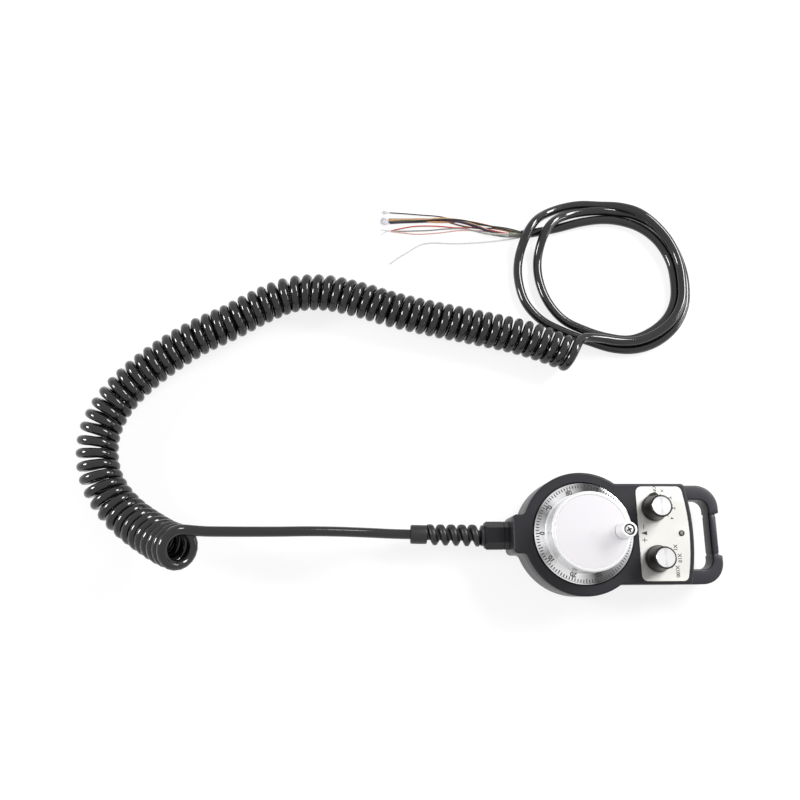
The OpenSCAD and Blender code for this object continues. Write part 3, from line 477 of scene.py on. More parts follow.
def make_finishes(scene):
    """One finish for each material slot of the frame, and those of the new pieces."""
    housing, label, wheel = scene.housing, scene.label, scene.wheel
    switches, cord = scene.switches, scene.cord
    return {
        "casing": moulded("casing_plastic", housing.casing_colour, 0.38, specular=0.35),
        "cover": moulded("cover_plastic", housing.cover_colour, 0.42, specular=0.25),
        "seal_rubber": soft_rubber("seal_rubber", (0.02, 0.02, 0.02)),
        "steel_screw": brushed_metal("plated_steel", (0.55, 0.55, 0.55), 0.5),
        "label": satin_print("label_plate", label.plate_colour, 0.42),
        "ink": satin_print("label_ink", label.ink_colour, 0.5),
        # Dark metal, also used as painted shade in the crank's counterbore and over the crank screw's cross
        "dark_metal": brushed_metal("blackened_metal", (0.05, 0.05, 0.05), 0.4),
        "lamp_lens": lens_plastic("lamp_lens", (0.30, 0.32, 0.30)),
        "encoder_plastic": moulded("encoder_plastic", (0.03, 0.03, 0.033), 0.5),
        "bearing_steel": brushed_metal("bearing_steel", (0.68, 0.69, 0.71), 0.2),
        "circuit_board": board_laminate("circuit_board", (0.02, 0.11, 0.045)),
        "chip_plastic": moulded("chip_plastic", (0.02, 0.02, 0.023), 0.55),
        "switch_plastic": moulded("switch_plastic", (0.04, 0.04, 0.04), 0.5),
        "terminal_plastic": moulded("terminal_plastic", (0.62, 0.63, 0.60), 0.4, mottle=0.04),
        "gland_nylon": moulded("gland_nylon", (0.0095, 0.0085, 0.0105), 0.36, 0.008, specular=0.2),
        "relief_rubber": soft_rubber("relief_rubber", cord.rubber, 0.42),
        "cord_jacket": cord_jacket("cord_jacket", cord.jacket),
        "wire_insulation": insulation("wire_insulation", (0.5, 0.3, 0.12)),
        # The turned metals below carry painted sheen in their colour, from the sheen tables
        "code_glass": turned_metal("etched_disc", (0.5, 0.51, 0.53), DIAL, 0.4, 0.01, 0.25, PLAIN_PAINTED_SHEEN),
        "turned_aluminium": turned_metal(
            "turned_aluminium", wheel.metal, DIAL, 0.45, 0.003, 0.27, RING_PAINTED_SHEEN,
            inside=wheel.lip / MM + 0.6, side=0.35),
        "polished_face": turned_metal(
            "polished_face", wheel.face, DIAL, 0.5, 0.0002, 0.27, PLAIN_PAINTED_SHEEN, 0.02, 0.8),
        "washer_nylon": moulded("natural_nylon", (0.78, 0.78, 0.74), 0.45, mottle=0.03),
        "crank_aluminium": turned_metal(
            "crank_aluminium", (0.90, 0.90, 0.90), CRANK, 0.4, 0.002, 0.3, PLAIN_PAINTED_SHEEN, 0.05, 0.5),
        "knob_plastic": moulded("knob_plastic", switches.knob_colour, 0.36, 0.01, specular=0.35),
        "cap_aluminium": turned_metal(
            "axis_cap_metal", switches.cap_colour, AXIS, 0.3, 0.002, 0.3, CAP_PAINTED_SHEEN, 0.04),
        "multiplier_cap": turned_metal(
            "multiplier_cap_metal", switches.cap_colour, MULTIPLIER, 0.3, 0.002, 0.3, CAP_PAINTED_SHEEN, 0.04),
        "dial_ink": satin_print("dial_ink", (0.02, 0.02, 0.022), 0.5),
    }


# ---- modelling ----


def alone(piece):
    """Makes a piece the only one that operators act on."""
    bpy.ops.object.select_all(action="DESELECT")
    piece.select_set(True)
    bpy.context.view_layer.objects.active = piece
    return piece


@contextmanager
def editing(piece):
    """Edit mode on one piece, with all of its mesh selected."""
    alone(piece)
    bpy.ops.object.mode_set(mode="EDIT")
    bpy.ops.mesh.select_all(action="SELECT")
    yield
    bpy.ops.object.mode_set(mode="OBJECT")


def pick(kind, test):
    """Selects the edges or faces whose corners pass a test."""
    bpy.ops.mesh.select_mode(type=kind)
    bpy.ops.mesh.select_all(action="DESELECT")
    shape = bmesh.from_edit_mesh(bpy.context.object.data)
    for part in shape.edges if kind == "EDGE" else shape.faces:
        if test([vertex.co / MM for vertex in part.verts]):
            part.select_set(True)
    bmesh.update_edit_mesh(bpy.context.object.data)


def at_height(z):
    """A test for what lies flat at a height."""
    return lambda corners: all(abs(corner.z - z) < 0.02 for corner in corners)


def round_off(test, radius, segments=4):
    """Rounds the edges that pass a test."""
    pick("EDGE", test)
    bpy.ops.mesh.bevel(offset=radius * MM, segments=segments, affect="EDGES", clamp_overlap=False)


def plate(name, ring, low, high):
    """A flat slab with a drawn outline."""
    bpy.ops.mesh.primitive_circle_add(vertices=len(ring), fill_type="NGON")
    piece = bpy.context.object
    piece.name = name
    for vertex, point in zip(piece.data.vertices, ring):
        vertex.co = Vector((point[0], point[1], low)) * MM
    with editing(piece):
        bpy.ops.mesh.extrude_region_move(TRANSFORM_OT_translate={"value": (0, 0, (high - low) * MM)})
        bpy.ops.mesh.select_all(action="SELECT")
        bpy.ops.mesh.normals_make_consistent(inside=False)
    return piece


def disc(middle, radius, steps=48):
    """A circle as an outline."""
    return arc(middle[0], middle[1], radius, 0, 360 - 360 / steps, 360 / steps)


def line(name, points, closed=False):
    """A curve through a list of points."""
    curve = bpy.data.curves.new(name, "CURVE")
    curve.dimensions = "3D"
    spline = curve.splines.new("POLY")
    spline.points.add(len(points) - 1)
    spline.use_cyclic_u = closed
    for knot, point in zip(spline.points, points):
        knot.co = (*(Vector(point) * MM), 1)
    piece = bpy.data.objects.new(name, curve)
    bpy.context.scene.collection.objects.link(piece)
    return alone(piece)


def turned(name, profile, middle, along="Z", steps=96):
    """A profile of radius and distance, spun round an axis through the middle."""
    if along == "Z":
        points = [(middle[0] + r, middle[1], d) for r, d in profile]
        axis = (0, 0, 1)
    else:
        points = [(d, middle[1], middle[2] + r) for r, d in profile]
        axis = (1, 0, 0)
    piece = line(name, points)
    bpy.ops.object.convert(target="MESH")
    centre = Vector((middle[0], middle[1], middle[2] if along == "X" else 0)) * MM
    with editing(piece):
        bpy.ops.mesh.spin(steps=steps, angle=2 * math.pi, center=centre, axis=axis)
        bpy.ops.mesh.select_all(action="SELECT")
        bpy.ops.mesh.remove_doubles(threshold=0.002 * MM)
        bpy.ops.mesh.normals_make_consistent(inside=False)
    return piece


def swept(name, rings):
    """A tube through a row of rings, closed at both ends."""
    across, along = len(rings[0]), len(rings)
    bpy.ops.mesh.primitive_grid_add(x_subdivisions=across, y_subdivisions=along - 1)
    piece = bpy.context.object
    piece.name = name
    points = [ring[k % across] for ring in rings for k in range(across + 1)]
    for vertex, point in zip(piece.data.vertices, points):
        vertex.co = Vector(point) * MM
    with editing(piece):
        bpy.ops.mesh.remove_doubles(threshold=0.0005 * MM)
        bpy.ops.mesh.select_mode(type="EDGE")
        bpy.ops.mesh.select_non_manifold()
        bpy.ops.mesh.edge_face_add()
        bpy.ops.mesh.select_all(action="SELECT")
        bpy.ops.mesh.normals_make_consistent(inside=False)
    return piece


def copied(piece, name, move=(0, 0, 0)):
    """A copy with its own mesh, moved."""
    copy = piece.copy()
    copy.data = piece.data.copy()
    copy.name = name
    bpy.context.scene.collection.objects.link(copy)
    with editing(copy):
        bpy.ops.transform.translate(value=Vector(move) * MM)
    return copy


def joined(name, pieces):
    """Several meshes as one piece."""
    alone(pieces[0])
    for piece in pieces:
        piece.select_set(True)
    bpy.ops.object.join()
    pieces[0].name = name
    return pieces[0]


def combine(piece, other, operation):
    """Adds another solid to a piece, or cuts it away."""
    alone(piece)
    modifier = piece.modifiers.new(operation.title(), "BOOLEAN")
    modifier.operation = operation
    modifier.object = other
    modifier.solver = "EXACT"
    bpy.ops.object.modifier_apply(modifier=modifier.name)
    bpy.data.objects.remove(other)
    return piece


def smooth(piece, angle=35, weighted=True):
    """Smooth shading that keeps the crisp edges and the flat faces flat."""
    alone(piece)
    bpy.ops.object.shade_smooth_by_angle(angle=math.radians(angle))
    if weighted:
        modifier = piece.modifiers.new("Weighted", "WEIGHTED_NORMAL")
        modifier.keep_sharp = True
        bpy.ops.object.modifier_apply(modifier=modifier.name)
    return piece


def finish_piece(piece, body, slot, nodes=(), material=None):
    """Gives a piece its finish, its body, its slot and the frame nodes it stands for."""
    piece.name = piece.name.split(".")[0] + "_piece"
    piece.data.materials.clear()
    piece.data.materials.append(material or FINISHES[slot])
    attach(piece, body)
    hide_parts(*nodes)
    return piece


def lettering(name, text, middle, up, size, z, weight=0.024):
    """Flat text round its middle, with its up direction given in degrees."""
    bpy.ops.object.select_all(action="DESELECT")
    bpy.ops.object.text_add(
        location=Vector((middle[0], middle[1], z)) * MM, rotation=(0, 0, math.radians(up - 90))
    )
    piece = bpy.context.object
    piece.name = name
    piece.data.body = text
    piece.data.size = size * MM
    piece.data.offset = weight * size * MM
    piece.data.align_x = "CENTER"
    piece.data.align_y = "CENTER"
    piece.data.extrude = 0.01 * MM
    bpy.ops.object.convert(target="MESH")
    bpy.ops.object.transform_apply()
    return piece


# ---- outlines ----


def arc(x, y, radius, start, end, step=3.0):
    """Points round an arc whose normal turns from start to end; a negative radius is hollow."""
    steps = max(2, math.ceil(abs(end - start) / step - 1e-6))
    turns = [math.radians(start + (end - start) * i / steps) for i in range(steps + 1)]
    return [(x + radius * math.cos(turn), y + radius * math.sin(turn)) for turn in turns]


def tidy(points):
    """Leaves out a point that repeats the one before it."""
    return [p for i, p in enumerate(points) if math.dist(p, points[i - 1]) > 0.02]


def both_sides(half):
    """An upper half outline and its mirror image."""
    return tidy(half + [(x, -y) for x, y in reversed(half)])


def panel_end(housing, end_margin, margin, corner):
    """The curved end of the panel and its corner, drawn in by its margins."""
    half = housing.panel_width / MM / 2
    middle = COVER_HIGH.x - housing.panel_end / MM
    radius = housing.panel_end / MM - end_margin
    corner_y = half - margin - corner
    corner_x = middle + math.sqrt((radius - corner) ** 2 - corner_y**2)
    turn = math.degrees(math.atan2(corner_y, corner_x - middle))
    return arc(middle, 0, radius, 0, turn) + arc(corner_x, corner_y, corner, turn, 90, 9)


def housing_outline(housing):
    """The round part, the panel with its curved end and the neck."""
    half, neck = housing.panel_width / MM / 2, housing.neck_width / MM / 2
    fillet, round_r = housing.fillet / MM, (COVER_HIGH.y - COVER_LOW.y) / 2

    def fillet_at(width, side):
        y = width + fillet
        x = side * math.sqrt((round_r + fillet) ** 2 - y * y)
        return x, y, math.degrees(math.atan2(y, x))

    front_x, front_y, front_turn = fillet_at(half, 1)
    rear_x, rear_y, rear_turn = fillet_at(neck, -1)
    return both_sides(
        panel_end(housing, 0, 0, housing.panel_corner / MM)
        + arc(DIAL.x + front_x, front_y, -fillet, 90, front_turn, 8)
        + arc(DIAL.x, 0, round_r, front_turn, rear_turn, 2)
        + arc(DIAL.x + rear_x, rear_y, -fillet, rear_turn, 90, 8)
        + arc(COVER_LOW.x + fillet, neck - fillet, fillet, 90, 180, 8)
    )


# ---- housing ----


def screw_places():
    """Middles of the recessed screws, from the frame's own screws."""
    corners = [v.co / MM for v in frame["nodes"]["housing_screws"].data.vertices]
    places = []
    for corner in corners:
        near = [p for p in places if (p[0].xy - corner.xy).length < 8]
        if near:
            near[0].append(corner)
        else:
            places.append([corner])
    return [
        (
            (min(p.x for p in group) + max(p.x for p in group)) / 2,
            (min(p.y for p in group) + max(p.y for p in group)) / 2,
        )
        for group in places
    ]


def loop_rings(handle, root, end, half):
    """Rounded sections along the carrying loop, from one arm's root to the other's."""
    arm, bar = handle.arm / MM, handle.bar / MM
    outer_r, inner_r = handle.corner / MM, handle.inner_corner / MM
    notch, depth = handle.notch / MM / 2, handle.notch_depth / MM
    stations = [((x, half), (x, half - arm)) for x in (root, root + 4, end - outer_r)]
    for step in range(1, 13):
        turn = math.radians(90 - 90 * step / 13)
        out_x, out_y = outer_r * math.cos(turn), outer_r * math.sin(turn)
        in_x, in_y = inner_r * math.cos(turn), inner_r * math.sin(turn)
        stations.append((
            (end - outer_r + out_x, half - outer_r + out_y),
            (end - bar - inner_r + in_x, half - arm - inner_r + in_y),
        ))
    stations.append(((end, half - outer_r), (end - bar, half - arm - inner_r)))
    stations = [(outer, inner, 0) for outer, inner in stations]
    for y, share, drop in (
        (notch + 1.6, 0, 0), (notch + 1.1, 0.15, 0.1), (notch + 0.6, 0.9, 0.7), (notch - 0.4, 1.15, 0.9),
        (notch - 1.1, 1.05, 0.6), (notch - 1.8, 1, 0.5), (0, 1, 0.5),
    ):
        stations.append(((end - depth * share, y), (end - bar + 0.3 * drop, y), drop))
    stations += [((a, -b), (c, -d), drop) for (a, b), (c, d), drop in reversed(stations[:-1])]
    edge, top = handle.edge / MM, SPLIT_Z
    low = top - handle.thickness / MM
    rings = []
    for outer, inner, drop in stations:
        outer, inner = Vector(outer), Vector(inner)
        across = (outer - inner).normalized()
        width, height = (outer - inner).length, top - low - 2 * drop
        middle = (outer + inner) / 2
        ring = []
        for u, v in rounded_box(width / 2, height / 2, edge + 1.2 * drop):
            point = middle + across * u
            ring.append((point.x, point.y, (low + top) / 2 + v))
        rings.append(ring)
    return rings


def rounded_box(half_w, half_h, radius):
    """A rectangle with rounded corners, round its middle."""
    points = []
    for turn, (u, v) in enumerate(((1, 1), (-1, 1), (-1, -1), (1, -1))):
        points += arc(u * (half_w - radius), v * (half_h - radius), radius, 90 * turn, 90 * turn + 90, 18)
    return points


def build_casing(scene):
    """The bowl with its recessed screw posts, and the loop moulded on its end."""
    housing, wall = scene.housing, scene.housing.wall / MM
    casing = plate("casing", housing_outline(housing), 0, SPLIT_Z)
    with editing(casing):
        round_off(at_height(0), housing.back_edge / MM, 5)
        pick("FACE", at_height(SPLIT_Z))
        bpy.ops.mesh.inset(thickness=wall * MM, use_even_offset=True)
        bpy.ops.mesh.extrude_region_move(TRANSFORM_OT_translate={"value": (0, 0, (wall - SPLIT_Z) * MM)})
    places = screw_places()
    post = plate("post", disc((0, 0), 3.4, 32), 1, SPLIT_Z - 0.5)
    hole = plate("hole", disc((0, 0), 3.1, 32), -1, 9)
    posts = joined("posts", [copied(post, "post_copy", (x, y, 0)) for x, y in places])
    holes = joined("holes", [copied(hole, "hole_copy", (x, y, 0)) for x, y in places])
    bpy.data.objects.remove(post)
    bpy.data.objects.remove(hole)
    combine(casing, posts, "UNION")
    combine(casing, holes, "DIFFERENCE")
    half = housing.panel_width / MM / 2
    loop = swept("carrying_loop", loop_rings(scene.handle, COVER_HIGH.x - 9, CASING_HIGH.x, half))
    smooth(loop, 50, weighted=False)
    return smooth(casing), loop


def build_cover(scene):
    """The cover with the pocket of the graduated ring."""
    housing = scene.housing
    cover = plate("cover", housing_outline(housing), SPLIT_Z, FACE_Z)
    with editing(cover):
        round_off(at_height(FACE_Z), housing.face_edge / MM, 5)
        round_off(at_height(SPLIT_Z), 0.25, 2)
    pocket_r = RING_R + 1
    pocket = plate("pocket", disc(DIAL, pocket_r, 128), FACE_Z - 2.2, FACE_Z + 2)
    combine(cover, pocket, "DIFFERENCE")
    with editing(cover):
        round_off(
            lambda corners: all(
                abs(c.z - FACE_Z) < 0.02 and abs((c.xy - DIAL.xy).length - pocket_r) < 0.05 for c in corners
            ),
            0.45, 3,
        )
    return smooth(cover)


def build_label(scene):
    """The printed plate between the knobs."""
    margin, corner = scene.label.margin / MM, scene.label.corner / MM
    half = scene.housing.panel_width / MM / 2 - margin
    ring = both_sides(
        panel_end(scene.housing, scene.label.end_margin / MM, margin, corner)
        + arc(LABEL_LOW.x + corner, half - corner, corner, 90, 180, 8)
    )
    label = plate("label_plate", ring, LABEL_LOW.z, LABEL_HIGH.z)
    with editing(label):
        round_off(at_height(LABEL_HIGH.z), 0.2, 2)
    return smooth(label)


def around(middle, turn, distance):
    """A point at a turn and a distance from a middle."""
    angle = math.radians(turn)
    return middle.x + distance * math.cos(angle), middle.y + distance * math.sin(angle)


def stroke(name, start, end, width, z):
    """A flat printed line."""
    along = (Vector(end) - Vector(start)).normalized() * (width / 2)
    side = Vector((-along.y, along.x))
    ring = [Vector(start) - side, Vector(end) - side, Vector(end) + side, Vector(start) + side]
    return plate(name, [tuple(p) for p in ring], z, z + PRINT_DEPTH)


def build_label_marks(scene):
    """Axis letters, step factors, the pointer with its signs and the position ticks."""
    label, z, up = scene.label, LABEL_HIGH.z + 0.005, 0
    small, large = label.position_size / MM, label.factor_size / MM
    marks = []
    for text, turn, distance in (
        ("OFF", 84, 14.6), ("X", 61, 15.9), ("Y", 31, 16.2), ("Z", 0, 16.2), ("4", -30, 16.2),
    ):
        marks.append(lettering("letter", text, around(AXIS, turn, distance), up, small, z))
        if text != "OFF":
            marks.append(stroke("tick", around(AXIS, turn, 11.4), around(AXIS, turn, 13.3), 0.4, z))
    for text, turn, distance in (("X1", 30, 17.0), ("X10", 1, 17.7), ("X100", -34, 18.2)):
        marks.append(lettering("letter", text, around(MULTIPLIER, turn, distance), up, large, z))
        marks.append(stroke("tick", around(MULTIPLIER, turn, 11.4), around(MULTIPLIER, turn, 13.3), 0.4, z))
    x = LABEL_LOW.x + 4.2
    marks.append(stroke("minus", (x, 3.3), (x, 6.9), 0.55, z))
    marks.append(stroke("plus", (x, -7.3), (x, -3.6), 0.55, z))
    marks.append(stroke("plus_bar", (x - 2.1, -5.45), (x + 2.1, -5.45), 0.55, z))
    marks.append(plate("pointer", [(x - 2.6, 0), (x + 2.4, -1.6), (x + 2.4, 1.6)], z, z + PRINT_DEPTH))
    return joined("label_marks", marks)


def build_lamp():
    """The bezel and the domed lens of the lamp."""
    middle = (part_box("lamp")[0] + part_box("lamp")[1]) / 2 / MM
    z = LABEL_HIGH.z
    bezel = turned("lamp_bezel", [
        (1.55, z - 3), (2.0, z - 3), (2.0, z), (2.3, z + 0.02), (2.3, z + 0.35), (2.1, z + 0.62),
        (1.85, z + 0.68), (1.62, z + 0.55), (1.55, z + 0.2), (1.55, z - 3),
    ], middle, steps=40)
    lens = turned("lamp_lens", [
        (0, z - 3), (1.5, z - 3), (1.5, z + 0.05), (1.35, z + 0.2), (0.95, z + 0.27), (0.5, z + 0.29),
        (0, z + 0.3),
    ], middle, steps=40)
    return smooth(bezel, 40), smooth(lens, 60)


def pan_head(name, middle, z, radius, height, way):
    """A pan head with a cross recess; way is 1 where it looks up and -1 where it looks down."""
    head = turned(name, [
        (0, z), (radius, z), (radius, z + way * height * 0.55), (radius * 0.95, z + way * height * 0.8),
        (radius * 0.82, z + way * height * 0.93), (radius * 0.5, z + way * height * 0.99),
        (0, z + way * height),
    ], middle, steps=40)
    foot = min(z + way * height * 0.35, z + way * height * 1.4)
    arms = []
    for turn in CROSS_TURNS:
        start, end = around(middle, turn, radius * 0.7), around(middle, turn + 180, radius * 0.7)
        arm = stroke("arm", start, end, radius * 0.32, foot)
        with editing(arm):
            pick("FACE", at_height(foot + PRINT_DEPTH))
            bpy.ops.transform.translate(value=(0, 0, (height * 1.05 - PRINT_DEPTH) * MM))
        arms.append(arm)
    for arm in arms:
        combine(head, arm, "DIFFERENCE")
    return smooth(head, 40)


# ---- handwheel ----


def build_handwheel(scene):
    """The graduated ring and the hollowed side, turned from one piece."""
    wheel = scene.wheel
    lip, hollow = wheel.lip / MM, wheel.hollow / MM
    ring_z, foot_z, top = WHEEL_LOW.z + 2.8, WHEEL_LOW.z + 3.5, FACE_HIGH.z + 0.1
    lip_z = top - 1.2
    profile = [
        (0, WHEEL_LOW.z + 0.2), (RING_R - 0.6, WHEEL_LOW.z), (RING_R, WHEEL_LOW.z + 0.6),
        (RING_R, ring_z - 0.3),
        (RING_R - 0.08, ring_z - 0.1), (RING_R - 0.3, ring_z), (RING_R - 1.0, ring_z),
        (RING_R - 1.15, ring_z - 0.1),
        (RING_R - 1.4, ring_z - 0.42), (lip + 0.9, ring_z), (lip + 0.3, ring_z + 0.15),
    ]
    for step in range(25):
        share = step / 24
        profile.append((lip - hollow * math.sin(math.pi * share), foot_z + (lip_z - foot_z) * share))
    for turn in range(15, 91, 15):
        angle = math.radians(turn)
        profile.append((lip - 1.2 + 1.2 * math.cos(angle), lip_z + 1.2 * math.sin(angle)))
    profile += [
        (FACE_R + 0.35, top), (FACE_R + 0.08, top - 0.2), (FACE_R + 0.03, FACE_LOW.z), (0, FACE_LOW.z),
    ]
    body = smooth(turned("handwheel", profile, DIAL, steps=144), 30)
    z = FACE_LOW.z
    boss = smooth(turned("crank_boss", [
        (0, z), (4.4, z), (4.4, z + 0.85), (4.35, z + 0.9), (0, z + 0.9),
    ], CRANK, steps=48))
    return joined("handwheel", [body, boss])


def build_wheel_face():
    """The polished disc on the wheel's end."""
    radius, low, high = FACE_R, FACE_LOW.z, FACE_HIGH.z
    return smooth(turned("wheel_face", [
        (0, low), (radius, low), (radius, high - 0.12), (radius - 0.12, high),
        (0, high),
    ], DIAL, steps=144), 30)


def build_dial_marks(scene):
    """Marks and numerals of the graduated ring."""
    wheel = scene.wheel
    edge, z = RING_R - 1.55, WHEEL_LOW.z + 2.8
    slope = 0.42 / (RING_R - 1.4 - wheel.lip / MM - 0.9)
    lengths = [wheel.minor_mark, wheel.middle_mark, wheel.major_mark]
    masters = [
        stroke("mark", (edge - size / MM, 0), (edge, 0), wheel.mark_width / MM, 0) for size in lengths
    ]
    marks = []
    for index in range(wheel.divisions):
        master = masters[2 if index % 10 == 0 else 1 if index % 5 == 0 else 0]
        mark = copied(master, "mark_copy", (DIAL.x, DIAL.y, 0))
        with editing(mark):
            bpy.ops.transform.rotate(
                value=-math.radians(180 + 360 * index / wheel.divisions), orient_axis="Z",
                center_override=Vector((DIAL.x, DIAL.y, 0)) * MM,
            )
        marks.append(mark)
    for master in masters:
        bpy.data.objects.remove(master)
    size, radius = wheel.numeral_size / MM, wheel.numeral_radius / MM
    marks.append(turned("edge_line", [
        (edge + 0.2, 0), (edge + 0.5, 0), (edge + 0.5, PRINT_DEPTH), (edge + 0.2, PRINT_DEPTH),
        (edge + 0.2, 0),
    ], DIAL, steps=144))
    for index in range(10):
        turn = 180 + 36 * index
        middle = around(DIAL, turn, radius)
        marks.append(lettering("numeral", str(10 * index), middle, turn, size, 0.005, 0.03))
    piece = joined("dial_marks", marks)
    for vertex in piece.data.vertices:
        distance = (vertex.co.xy / MM - DIAL.xy).length
        vertex.co.z += (z + 0.012 - slope * max(0, distance - wheel.lip / MM - 0.9)) * MM
    return piece


def build_crank(scene):
    """The turning knob of the wheel, its washer and its screw, with a dark liner in the counterbore and
    dark strokes over the screw's cross as painted shade.
    """
    low, high = (v.z for v in extent("crank_knob"))
    foot, top = 6.4, 5.9
    knob = turned("crank_knob", [
        (2.2, low), (foot - 0.5, low), (foot - 0.1, low + 0.15), (foot, low + 0.5), (foot, low + 1.5),
        (foot - 0.05, low + 2.2), (top + 0.3, low + 3.2), (top + 0.15, low + 5), (top + 0.05, low + 8),
        (top, high - 0.9), (top - 0.1, high - 0.4), (top - 0.35, high - 0.1), (top - 0.7, high),
        (4.5, high), (4.28, high - 0.12), (4.2, high - 0.4), (4.2, high - 3), (2.2, high - 3), (2.2, low),
    ], CRANK, steps=64)
    washer_low, washer_high = (v.z for v in extent("crank_washer"))
    washer = turned("crank_washer", [
        (2.2, washer_low), (4.3, washer_low), (4.4, washer_low + 0.1), (4.4, washer_high - 0.1),
        (4.3, washer_high), (2.2, washer_high), (2.2, washer_low),
    ], CRANK, steps=48)
    screw_high = extent("crank_screw")[1].z
    head = pan_head("crank_screw", CRANK, screw_high - 2.2, 3.4, 2.2, 1)
    # Painted shade: a dark liner round the screw head, where the counterbore only lies in shade
    recess = turned("crank_recess", [
        (4.17, high - 0.5), (4.19, high - 2.95), (3.25, high - 2.95), (3.25, high - 2.9),
        (4.1, high - 2.85),
        (4.1, high - 0.5), (4.17, high - 0.5),
    ], CRANK, steps=48)
    # Painted shade: dark strokes over the screw's cross recess
    cross = joined("crank_screw_cross", [
        stroke("arm", around(CRANK, turn, 2.1), around(CRANK, turn + 180, 2.1), 1.15, screw_high + 0.02)
        for turn in CROSS_TURNS
    ])
    return smooth(knob, 40), smooth(washer), head, smooth(recess), cross


# ---- selector knobs ----


def build_knob(scene, name, middle, pointing):
    """A tapered knob with a pointer nose."""
    switches = scene.switches
    foot, top, cap = switches.foot / MM, switches.top / MM, switches.cap / MM
    low, high = KNOB_LOW.z, KNOB_HIGH.z
    knob = turned(name, [
        (7.6, low), (foot - 0.3, low), (foot, low + 0.3), (foot, low + 2.3), (foot - 0.1, low + 2.8),
        (foot - 0.5, low + 3.3), (foot - 0.62, low + 3.8), (top + 0.25, high - 1.2),
        (top + 0.12, high - 0.5),
        (top - 0.15, high - 0.12), (top - 0.4, high), (cap + 0.25, high), (cap + 0.08, high - 0.15),
        (cap + 0.05, high - 0.8), (0, high - 0.8),
    ], middle, steps=96)
    tip = [around(middle, pointing + turn, distance) for turn, distance in (
        (-24, foot - 1.6), (-17, foot + 0.9), (-9, foot + 1.62), (0, foot + 1.7),
        (9, foot + 1.62), (17, foot + 0.9), (24, foot - 1.6))]
    nose = plate("nose", tip, low, low + 3.2)
    with editing(nose):
        round_off(at_height(low + 3.2), 0.5, 3)
    return joined(name, [smooth(knob, 35), smooth(nose, 40)])


def build_cap(scene, name, middle):
    """A spun metal cap with its dished face."""
    cap, high = scene.switches.cap / MM, KNOB_HIGH.z + 0.1
    return smooth(turned(name, [
        (0, high - 0.8), (cap, high - 0.8), (cap, high - 0.2), (cap - 0.2, high),
        (cap - 0.6, high - 0.02), (0, high - 0.12),
    ], middle, steps=96), 40)


# ---- gland and strain relief ----


def hexagon(name, low, high, radius, edge):
    """A six-sided nut along X with softened corners."""
    bpy.ops.mesh.primitive_cylinder_add(
        vertices=6, radius=radius * MM, depth=(high - low) * MM,
        location=Vector(((low + high) / 2, 0, GLAND_Z)) * MM, rotation=(0, math.radians(90), 0),
    )
    piece = bpy.context.object
    piece.name = name
    bpy.ops.object.transform_apply()
    with editing(piece):
        round_off(lambda corners: abs(corners[0].x - corners[1].x) > 1, edge, 3)
    return piece


def build_gland():
    """The collar and the chamfered cap nut."""
    radius = (NUT_HIGH.y - NUT_LOW.y) / 2
    collar = hexagon("gland_collar", NUT_HIGH.x, COVER_LOW.x, radius, 0.5)
    with editing(collar):
        round_off(
            lambda corners: abs(corners[0].x - corners[1].x) < 0.01
            and abs(corners[0].x - NUT_HIGH.x) < 0.01, 0.4, 2)
    nut = hexagon("gland_cap_nut", NUT_LOW.x, NUT_HIGH.x - 0.15, radius, 0.5)
    cone = turned("cone", [
        (0, NUT_LOW.x - 1), (radius - 2.4, NUT_LOW.x - 0.02), (radius - 1.4, NUT_LOW.x + 0.3),
        (radius + 0.8, NUT_LOW.x + 3.6), (radius + 6, NUT_LOW.x + 14), (radius + 6, NUT_HIGH.x + 1),
        (0, NUT_HIGH.x + 1),
    ], (0, 0, GLAND_Z), "X", 64)
    combine(nut, cone, "INTERSECT")
    with editing(nut):
        round_off(lambda corners: all(abs(c.x - NUT_HIGH.x + 0.15) < 0.01 for c in corners), 0.4, 2)
    return smooth(collar, 30), smooth(nut, 30)


